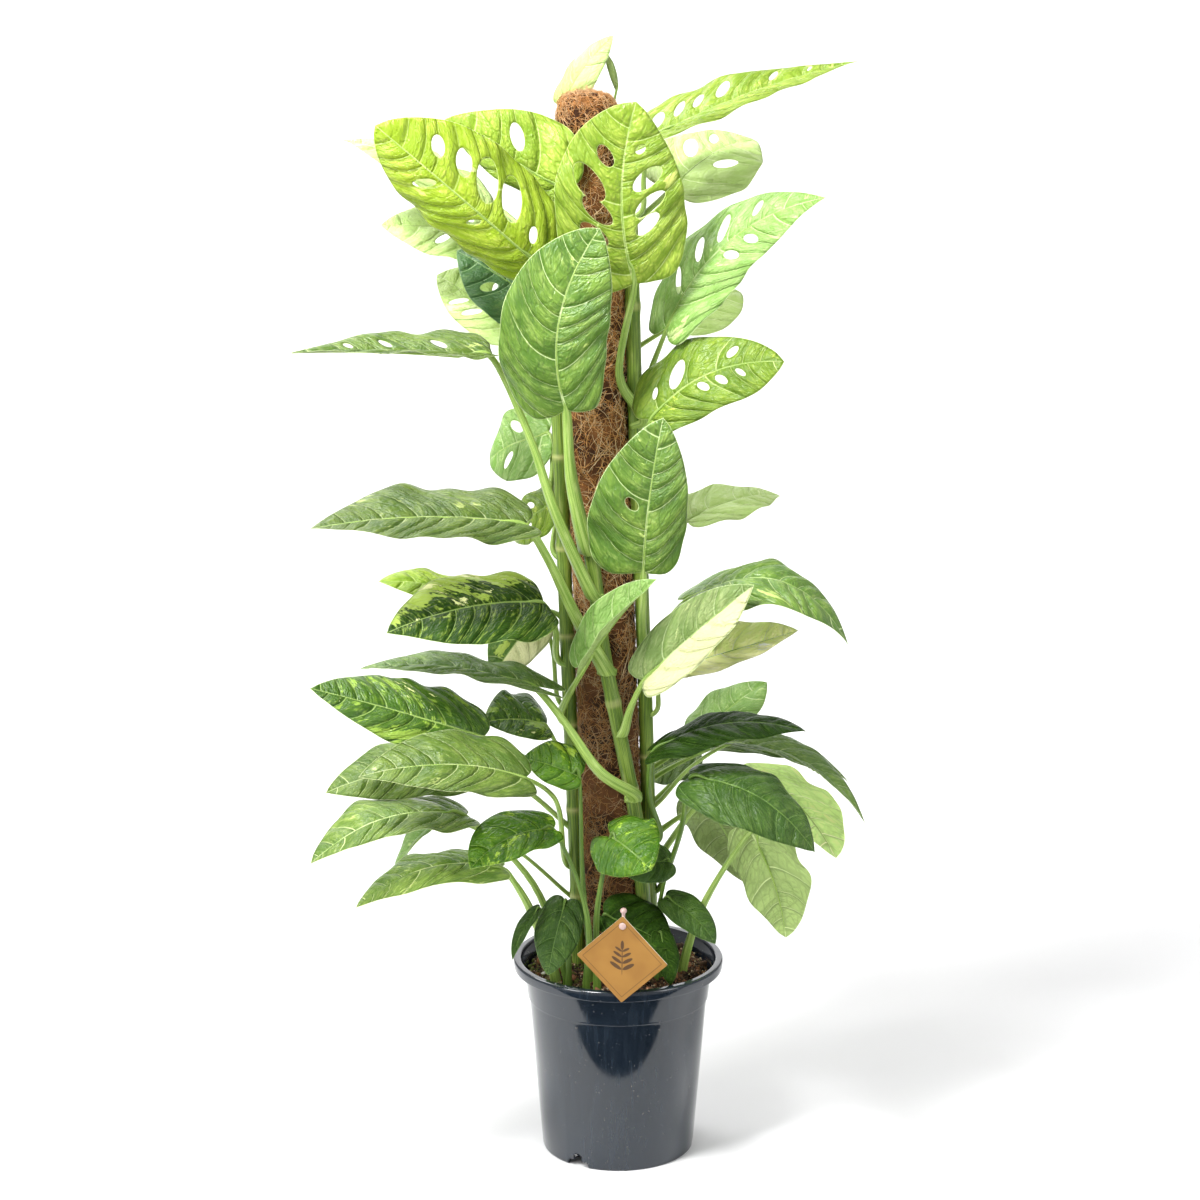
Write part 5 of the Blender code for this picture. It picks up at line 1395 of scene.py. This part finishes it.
def base_lump(subdivisions):
    mesh = bmesh.new()
    bmesh.ops.create_icosphere(mesh, subdivisions=subdivisions, radius=1.0)
    points = np.array([tuple(v.co) for v in mesh.verts])
    faces = np.array([[v.index for v in f.verts] for f in mesh.faces])
    mesh.free()
    return points, faces


def lumps(places, sizes, seed, subdivisions=1):
    """Irregular lumps at the places, as one set of points and faces."""
    dice = np.random.default_rng(seed)
    base, corners = base_lump(subdivisions)
    count = len(places)
    shape = base[None] * (1 + dice.normal(0, LUMP_ROUGHNESS, (count, len(base), 1)))
    shape = shape * dice.uniform(*LUMP_STRETCH, (count, 1, 3))
    turn = np.linalg.qr(dice.normal(size=(count, 3, 3)))[0]
    points = np.einsum("npi,nij->npj", shape, turn) * sizes[:, None, None] + places[:, None]
    faces = (corners[None] + len(base) * np.arange(count)[:, None, None]).reshape(-1, 3)
    return points.reshape(-1, 3), faces.tolist(), len(base)


print("lump bases:", [len(base_lump(n)[0]) for n in (1, 2)], "points")

# %% [markdown]
# One finish serves the whole mix. The tone of each lump picks its place on a scale from peat over husk to
# pale bark, and the white of perlite lies beyond its end. Moss is laid over by a value of its own.

# %% Soil finish
def soil_material():
    material, tree, shader = new_finish("compost_mix", 0.92, Specular_IOR_Level=0.25)
    place = position(tree)
    tone = attribute(tree, "tone", "Fac")
    grain = cloud(place, 420, 4, 0.7)
    share = (cloud(place, 60, 3) - 0.5) * 0.5 + tone
    colour = srgb(44, 36, 29)
    for amount, shade in (
        (ramp(share, 0.15, 0.5), srgb(98, 76, 58)),
        (ramp(share, 0.55, 0.8), srgb(160, 110, 78)),
        (ramp(share, 0.9, 1.05), srgb(222, 200, 168)),
        (grain * 0.4, srgb(30, 24, 19)),
        (attribute(tree, "moss", "Fac") * 0.8, srgb(104, 116, 52)),
        (ramp(tone, 1.4, 1.5), srgb(232, 230, 224)),
    ):
        colour = blend(amount, colour, shade)
    feed(shader, {"Base Color": colour, "Normal": bump(grain, 1.0 * MM, 0.8)})
    return material


COMPOST = soil_material()
# The roots lie low, so this coir finish gives them its full painted shade from low down
ROOT_BROWN = coir_material("root_brown", srgb(96, 62, 40), srgb(158, 112, 76), srgb(206, 170, 128), 0.6)
print("soil finishes:", COMPOST.name, ROOT_BROWN.name)

# %% [markdown]
# The bed is a disc of rings with hills in it. Chunks, crumbs and grit are strewn on it in three sizes,
# the biggest sunk deepest, and fine roots wind between them.

# %% Make the soil
SOIL_EDGE = 102.6 * MM
SOIL_FALL = 5 * MM
SOIL_HILLS = 2.6 * MM
SOIL_DEPTH = 32 * MM
BED_RINGS = 45
BED_SIDES = 150
MOSS_SHARE = 0.35
ROOT_TAPER = np.array([0.5, 0.9, 1, 1, 0.9, 0.5])
# White grains in millimetres from the pot's axis: place and size
PERLITE = ((-85, -25, 214, 4.0), (40, -84, 212, 1.8), (-30, -78, 213, 1.5), (66, -58, 213, 2.0))


def on_bed(x, y):
    """Places on the bed, given from the pot's axis: it has hills, and it falls towards the wall."""
    flat = np.column_stack([np.ravel(x), np.ravel(y)])
    hills = (waves_at(flat, 38, 2.0) + 0.5 * waves_at(flat, 110, 5.0)).reshape(np.shape(x))
    height = SOIL_LEVEL + SOIL_HILLS * hills - SOIL_FALL * (np.hypot(x, y) / SOIL_EDGE) ** 6
    return np.stack([x + AXIS[0], y + AXIS[1], height], axis=-1)


def soil_places(count, seed, reach=0.99):
    """Scattered places on the bed."""
    dice = np.random.default_rng(seed)
    radius = SOIL_EDGE * reach * np.sqrt(dice.uniform(0, 1, count))
    angle = dice.uniform(0, 2 * np.pi, count)
    return on_bed(radius * np.cos(angle), radius * np.sin(angle))


def make_bed():
    radius = np.linspace(0, 1, BED_RINGS + 1)[1:] * SOIL_EDGE
    r, a = np.meshgrid(radius, round_angles(BED_SIDES), indexing="ij")
    top = on_bed(r * np.cos(a), r * np.sin(a))
    low = SOIL_LEVEL - SOIL_DEPTH
    foot = top[-1] * (1, 1, 0) + (0, 0, low)
    points = np.vstack([*top, foot, [AXIS + (0, 0, SOIL_LEVEL), AXIS + (0, 0, low)]])
    index, faces = wrapped(BED_RINGS + 1, BED_SIDES)
    faces += [(index.size, i, j) for i, j in zip(index[0].tolist(), np.roll(index[0], -1).tolist())]
    faces += [(index.size + 1, j, i) for i, j in zip(index[-1].tolist(), np.roll(index[-1], -1).tolist())]
    return points, faces, {"tone": np.full(len(points), 0.18)}, COMPOST


def scatter(count, sizes, tones, seed, sink, subdivisions=1):
    """Lumps strewn on the bed. sink is the share of its size that a lump goes down."""
    dice = np.random.default_rng(seed)
    size = dice.uniform(*sizes, count) * MM
    places = soil_places(count, seed + 50)
    places[:, 2] += size * (1 - sink) - 0.5 * MM
    points, faces, each = lumps(places, size, seed, subdivisions)
    tone = np.repeat(dice.uniform(*tones, count), each)
    mossy = (places[:, 0] - AXIS[0] < -40 * MM) & (dice.uniform(0, 1, count) < MOSS_SHARE)
    return points, faces, {"tone": tone, "moss": np.repeat(mossy.astype(float), each)}, COMPOST


def perlite():
    """One white grain near the wall on the left, and three smaller ones."""
    grains = np.array(PERLITE) * MM
    points, faces, _ = lumps(grains[:, :3] + AXIS, grains[:, 3], 61, 2)
    return points, faces, {"tone": np.full(len(points), 1.6)}, COMPOST


def lying_roots(count, seed):
    dice = np.random.default_rng(seed)
    share = np.linspace(-0.5, 0.5, len(ROOT_TAPER))
    middle = soil_places(count, seed + 50, 0.93) - AXIS
    heading = dice.uniform(0, 2 * np.pi, (count, 1)) + dice.normal(0, 1.4, (count, 1)) * share
    reach = dice.uniform(6, 26, (count, 1)) * MM * share
    x = middle[:, :1] + reach * np.cos(heading)
    y = middle[:, 1:2] + reach * np.sin(heading)
    pull = np.minimum(1.0, (SOIL_EDGE - 1 * MM) / np.hypot(x, y))
    z = middle[:, 2:] + 1.6 * MM + dice.uniform(0, 3.2, (count, 1)) * MM * np.cos(np.pi * share)
    paths = np.stack([x * pull, y * pull, z], axis=-1) + AXIS
    thick = dice.uniform(0.16, 0.34, (count, 1)) * MM * ROOT_TAPER
    return strands(paths, thick, dice.uniform(0.3, 1.1, count), ROOT_BROWN)


def make_soil():
    obj = join_pieces("compost_bed", [
        make_bed(),
        scatter(130, (2.6, 5.4), (0.3, 0.85), 21, 0.5, 2),
        scatter(1700, (1.0, 2.7), (0.1, 0.85), 22, 0.1),
        scatter(4200, (0.5, 1.4), (0.2, 1.3), 23, -1.2),
        lying_roots(520, 24),
        perlite(),
    ])
    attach(obj, "root")
    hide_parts("soil")
    return len(obj.data.polygons)


print("compost faces:", make_soil())

# %% [markdown]
# A nursery pot is blown or pressed from one sheet of plastic: a slanting wall, a band under the rim that is
# a little wider, a rounded lip, and arches in the foot that let water out. A fine profile is turned round
# the axis, so the lip and the band catch the light as soft lines.

# %% Turned bodies
def circle(angles):
    return np.column_stack([np.cos(angles), np.sin(angles)])


def turned(profile, sides, centre):
    """Points and faces of a body turned from a profile of (radius, height), with closed ends."""
    profile = np.asarray(profile)
    heights = np.repeat(profile[:, None, 1:], sides, axis=1)
    points = np.concatenate([profile[:, None, :1] * circle(round_angles(sides)), heights], axis=2)
    index, faces = wrapped(len(profile), sides)
    return points.reshape(-1, 3) + centre, [*faces, index[0].tolist(), index[-1, ::-1].tolist()]


def arc(centre, radius, start, end, steps=7):
    """Points of a rounding, from one angle to another, both in degrees."""
    turns = np.radians(np.linspace(start, end, steps))
    return [(centre[0] + radius * math.cos(t), centre[1] + radius * math.sin(t)) for t in turns]


print("a quarter of a round lip:", np.round(arc((0.0, 0.0), 1.0, 0, 90, 3), 2).tolist())

# %% [markdown]
# Pots of this kind are a smooth, dark plastic that shows soft reflections. Noise that is stretched along the
# height gives the faint flow lines of the pressing, and a few pale specks are dust and dried drops.

# %% Pot finish
def pot_material():
    material, tree, shader = new_finish("slate_plastic", 0.14, Specular_IOR_Level=0.7)
    place = position(tree)
    flow = cloud(stretch(place, (1.0, 1.0, 0.12)), 160, 3)
    speck = ramp(cloud(place, 260, 2, 0.6), 0.70, 0.74)
    colour = blend(ramp(cloud(place, 9, 3), 0.35, 0.65), srgb(22, 30, 39), srgb(27, 36, 46))
    colour = blend(ramp(flow, 0.4, 0.7) * 0.3, colour, srgb(44, 55, 66))
    colour = blend(speck * 0.35, colour, srgb(140, 132, 118))
    feed(shader, {
        "Base Color": colour,
        "Roughness": ramp(flow, 0.35, 0.7) * 0.07 + 0.08 + speck * 0.3,
        "Normal": bump(flow, 0.15 * MM, 0.25),
    })
    return material


SLATE = pot_material()
print("pot finish:", SLATE.name)

# %% [markdown]
# The profile runs from the floor inside over the lip to the floor below, with small roundings where the
# band begins and ends. The arches are cut out with rounded blocks, since a turned profile can't hold them.

# %% Make the pot
POT_SIDES = 144
POT_FOOT_RADIUS = 86.5 * MM
NOTCH_ANGLES = [math.radians(-122 + 120 * k) for k in range(3)]
# The arch in the foot, and the drain slot behind it: width, height and depth inward, in millimetres
NOTCHES = ((27, 7.5, 8), (11, 16, 14))
NOTCH_ROUNDING = 2 * MM


def pot_profile():
    """Radius and height in metres, from the middle of the floor inside, over the lip, to the floor below."""
    inner = [(0.4, 9), (70, 9), (82.6, 9.4), (84.8, 11), (100.6, 179), (101.3, 182), (104.4, 212)]
    lip_in = [(106.5, 219), (109.4, 222), (110.8, 224.2)]
    lip = arc((113.4, 225.6), 2.4, 168, 90) + arc((117.3, 225.3), 2.7, 88, 0)
    skirt = [(120.0, 223.0), (119.6, 218.6), (119.2, 216.8)] + arc((117.9, 216.9), 1.2, 0, -90, 5)
    neck = [(112.0, 215.4), (108.6, 214.9), (107.2, 213.4), (106.9, 211.5)]
    band = [(103.9, 184.4), (103.6, 183.0)] + arc((102.3, 182.6), 1.3, 0, -90, 6) + [(101.7, 181.1)]
    foot = [(101.5, 180.2), (101.4, 178.0), (86.9, 2.2), (86.5, 0.9), (85.8, 0.2), (84.6, 0.0)]
    under = [(83.6, 0.0), (83.1, 0.6), (82.8, 5.9), (81.6, 6.8), (0.4, 6.8)]
    return np.array([*inner, *lip_in, *lip, *skirt, *neck, *band, *foot, *under]) * MM


def notch_cutter(angle, width, height, inward):
    """A rounded block that reaches from outside the foot inward, and from below the floor up."""
    work = bmesh.new()
    bmesh.ops.create_cube(work, size=1.0)
    bmesh.ops.scale(work, verts=work.verts, vec=((inward + 8) * MM, width * MM, (height + 6) * MM))
    bmesh.ops.bevel(work, geom=[e for e in work.edges if abs((e.verts[0].co - e.verts[1].co).x) > MM],
                    offset=NOTCH_ROUNDING, segments=4, affect="EDGES")
    middle = Vector((POT_FOOT_RADIUS - inward * MM / 2 + 4 * MM, 0, height * MM / 2 - 3 * MM))
    turn = Matrix.Rotation(angle, 4, "Z")
    shift = Matrix.Translation(Vector(AXIS) + turn @ middle)
    bmesh.ops.transform(work, matrix=shift @ turn, verts=work.verts)
    mesh = bpy.data.meshes.new("notch_cutter")
    work.to_mesh(mesh)
    work.free()
    return new_object("notch_cutter", mesh)


def make_pot():
    obj = join_pieces("nursery_pot", [(*turned(pot_profile(), POT_SIDES, AXIS), {}, SLATE)])
    cutters = [notch_cutter(angle, *notch) for angle in NOTCH_ANGLES for notch in NOTCHES]
    for cutter in cutters:
        cut = obj.modifiers.new("notch", "BOOLEAN")
        cut.operation = "DIFFERENCE"
        cut.object = cutter
        cut.solver = "EXACT"
    bpy.context.view_layer.update()
    obj.data = bpy.data.meshes.new_from_object(obj.evaluated_get(bpy.context.evaluated_depsgraph_get()))
    obj.modifiers.clear()
    for cutter in cutters:
        bpy.data.objects.remove(cutter)
    obj.data.shade_smooth()
    obj.data.set_sharp_from_angle(angle=math.radians(40))
    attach(obj, "root")
    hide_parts("pot")
    return len(obj.data.polygons)


print("pot faces:", make_pot())

# %% [markdown]
# The plant's tag is a square of golden kraft card that hangs by one corner. It is made of a thin plate with
# rounded corners and a punched hole. Its print is drawn by the material from the card's own coordinates: a
# thin frame and a plain sprig of narrow leaves, in brown ink. The cut edge shows the card's white middle.

# %% Card and pick finishes
CARD_SIDE = 73 * MM
# The printed frame: how far from the card's middle its corners lie, in millimetres
FRAME_REACH = 44.7
SPRIG_TILT = math.radians(32)


def oval(x, y, centre, size, turn=0.0):
    """1 inside an oval and 0 outside, from two coordinates in millimetres."""
    dx, dy = x - centre[0], y - centre[1]
    a = (dx * math.cos(turn) + dy * math.sin(turn)) / size[0]
    b = (dy * math.cos(turn) - dx * math.sin(turn)) / size[1]
    return 1.0 - ramp(a * a + b * b, 0.9, 1.08)


def card_material():
    material, tree, shader = new_finish("golden_card", 0.5, Specular_IOR_Level=0.4)
    x, y, face = split(attribute(tree, "card"))
    place = position(tree)
    fibre = cloud(place, 600, 4, 0.7)
    colour = blend(ramp(cloud(place, 30, 2), 0.3, 0.7), srgb(156, 113, 46), srgb(142, 100, 38))
    colour = blend(fibre * 0.3, colour, srgb(150, 104, 50))
    ink = 1.0 - ramp(abs(abs(x) + abs(y) - FRAME_REACH), 0.25, 0.5)
    marks = [oval(x, y, (0.0, -2.0), (0.55, 17.0)), oval(x, y, (0.0, 17.0), (1.9, 5.6))]
    for side in (-1, 1):
        for step, height in enumerate((-8.0, -1.0, 6.0, 12.0)):
            size = (7.6 - step, 2.3 - 0.3 * step)
            marks.append(oval(x, y, (side * (7.2 - step), height), size, side * SPRIG_TILT))
    for mark in marks:
        ink = ink.math("MAXIMUM", mark)
    colour = blend(ink * ramp(face, 0.4, 0.6) * 0.85, colour, srgb(62, 42, 30))
    colour = blend(ramp(face, -0.4, -0.6), colour, srgb(232, 224, 208))
    feed(shader, {"Base Color": colour, "Normal": bump(fibre, 0.15 * MM, 0.5)})
    return material


def nylon_material():
    material, tree, shader = new_finish("milky_plastic", 0.3, Specular_IOR_Level=0.5)
    soft = cloud(position(tree), 140, 2)
    colour = blend(soft, srgb(196, 168, 160), srgb(176, 146, 140))
    feed(shader, {"Base Color": colour, "Normal": bump(soft, 0.2 * MM, 0.3)})
    return material


CARD = card_material()
MILKY = nylon_material()
print("tag finishes:", CARD.name, MILKY.name)

# %% [markdown]
# The tag stands on its lowest corner and leans and turns a little, so three directions of its own serve for
# both pieces. The card is a plate with a slight curl. The pick is a thin rod with a round head, and a pin on
# its front goes through the punched hole.

# %% Make the tag and its pick
TAG_THICKNESS = 0.9 * MM
TAG_CURL = 0.6 * MM
TAG_BOTTOM = np.array([3.0, -126.0, 219.0]) * MM + AXIS
TAG_TURNS = Euler([math.radians(angle) for angle in (3.0, 1.5, -14.5)], "YXZ").to_matrix()
TAG_WAYS = ((1, 0, 0), (0, -1, 0), (0, 0, 1))
TAG_RIGHT, TAG_FRONT, TAG_UP = (np.array(TAG_TURNS @ Vector(way)) for way in TAG_WAYS)
CARD_ROUNDING = 1.5 * MM
HOLE_INSET = 12 * MM
HOLE_RADIUS = 2.5 * MM
PICK_RADIUS = 1.9 * MM
PICK_GAP = 0.3 * MM
# The pin's profile in millimetres: radius, and height in front of the card
RIVET = ((0.05, 1.7), (1.6, 1.6), (2.9, 1.2), (3.8, 0.6), (4.1, 0.15), (3.9, 0.0), (1.9, 0.0), (1.8, -3.4),
         (0.05, -3.4))


def card_outline():
    """A square on one corner with small roundings, and the punched hole, in metres round its middle."""
    half = CARD_SIDE / math.sqrt(2)
    bend = np.radians(np.linspace(-45, 45, 5))
    ring = [(half - CARD_ROUNDING * math.sqrt(2)) * circle([corner]) + CARD_ROUNDING * circle(corner + bend)
            for corner in np.radians([-90, 0, 90, 180])]
    return np.vstack(ring), circle(round_angles(24)) * HOLE_RADIUS + (0.0, half - HOLE_INSET)


def make_card():
    rings = card_outline()
    steps = np.arange(-50, 51, 4) * MM
    grid = np.array([(x, y) for x in steps for y in steps])
    grid = grid[between(grid, rings) & (distance_to(grid, rings) > 1.5 * MM)]
    flat, faces = filled(rings, grid)
    middle = TAG_BOTTOM + TAG_UP * CARD_SIDE / math.sqrt(2)
    curl = TAG_CURL * (flat[:, :1] / (50 * MM)) ** 2
    seat = middle + flat[:, :1] * TAG_RIGHT + flat[:, 1:] * TAG_UP + curl * TAG_FRONT
    front, back = seat + TAG_FRONT * TAG_THICKNESS / 2, seat - TAG_FRONT * TAG_THICKNESS / 2
    count = len(flat)
    face_mark = np.column_stack([flat / MM, np.ones(count)])
    # The cut edge has points of its own, so it stays sharp and its mark doesn't run into the print
    rim_edges = open_edges(faces)
    rim = sorted({i for edge in rim_edges for i in edge})
    number = {i: 2 * count + n for n, i in enumerate(rim)}
    strip = [(number[b], number[a], number[a] + len(rim), number[b] + len(rim)) for a, b in rim_edges]
    points = np.vstack([front, back, front[rim], back[rim]])
    marks = np.vstack([face_mark, face_mark * (1, 1, 0), np.tile((0.0, 0.0, -1.0), (2 * len(rim), 1))])
    all_faces = [*faces.tolist(), *(faces[:, ::-1] + count).tolist(), *strip]
    obj = join_pieces("tag_card", [(points, all_faces, {"card": marks}, CARD)])
    obj.data.set_sharp_from_angle(angle=math.radians(30))
    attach(obj, "root")
    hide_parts("tag")
    return len(obj.data.polygons)


def turned_piece(profile, sides, place, direction):
    """A turned body of the pick, at a place, with its axis along the direction."""
    points, faces = turned(np.array(profile) * MM, sides, np.zeros(3))
    turn = Vector(direction).to_track_quat("Z", "Y").to_matrix()
    return points @ np.array(turn).T + place, faces, {}, MILKY


def make_pick():
    hole_at = TAG_BOTTOM + TAG_UP * (CARD_SIDE * math.sqrt(2) - HOLE_INSET)
    off_card = TAG_FRONT * (TAG_THICKNESS / 2 + PICK_GAP)
    back = hole_at - off_card - TAG_FRONT * PICK_RADIUS
    top = back + TAG_UP * (HOLE_INSET + 3 * MM)
    foot = np.array([back[0], AXIS[1] - 88 * MM, SOIL_LEVEL - BURIED])
    shaft = np.vstack([np.linspace(foot, back, 18), np.linspace(back, top, 8)[1:]])
    points, faces, _ = swept(shaft, np.linspace(0.8, 1.0, len(shaft)) * PICK_RADIUS, 14)
    knob = [(max(r, 0.05), z * 0.9) for r, z in arc((0.0, 2.2), 3.7, -60, 84, 14)]
    obj = join_pieces("tag_pick_fine", [
        (points, faces, {}, MILKY),
        turned_piece([(0.05, 6.0), *knob[::-1], (0.05, -1.8)], 24, top, TAG_UP),
        turned_piece(RIVET, 28, hole_at + off_card, TAG_FRONT),
    ])
    obj.data.set_sharp_from_angle(angle=math.radians(50))
    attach(obj, "root")
    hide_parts("tag_pick")
    return len(obj.data.polygons)


print("card faces:", make_card(), "pick faces:", make_pick())
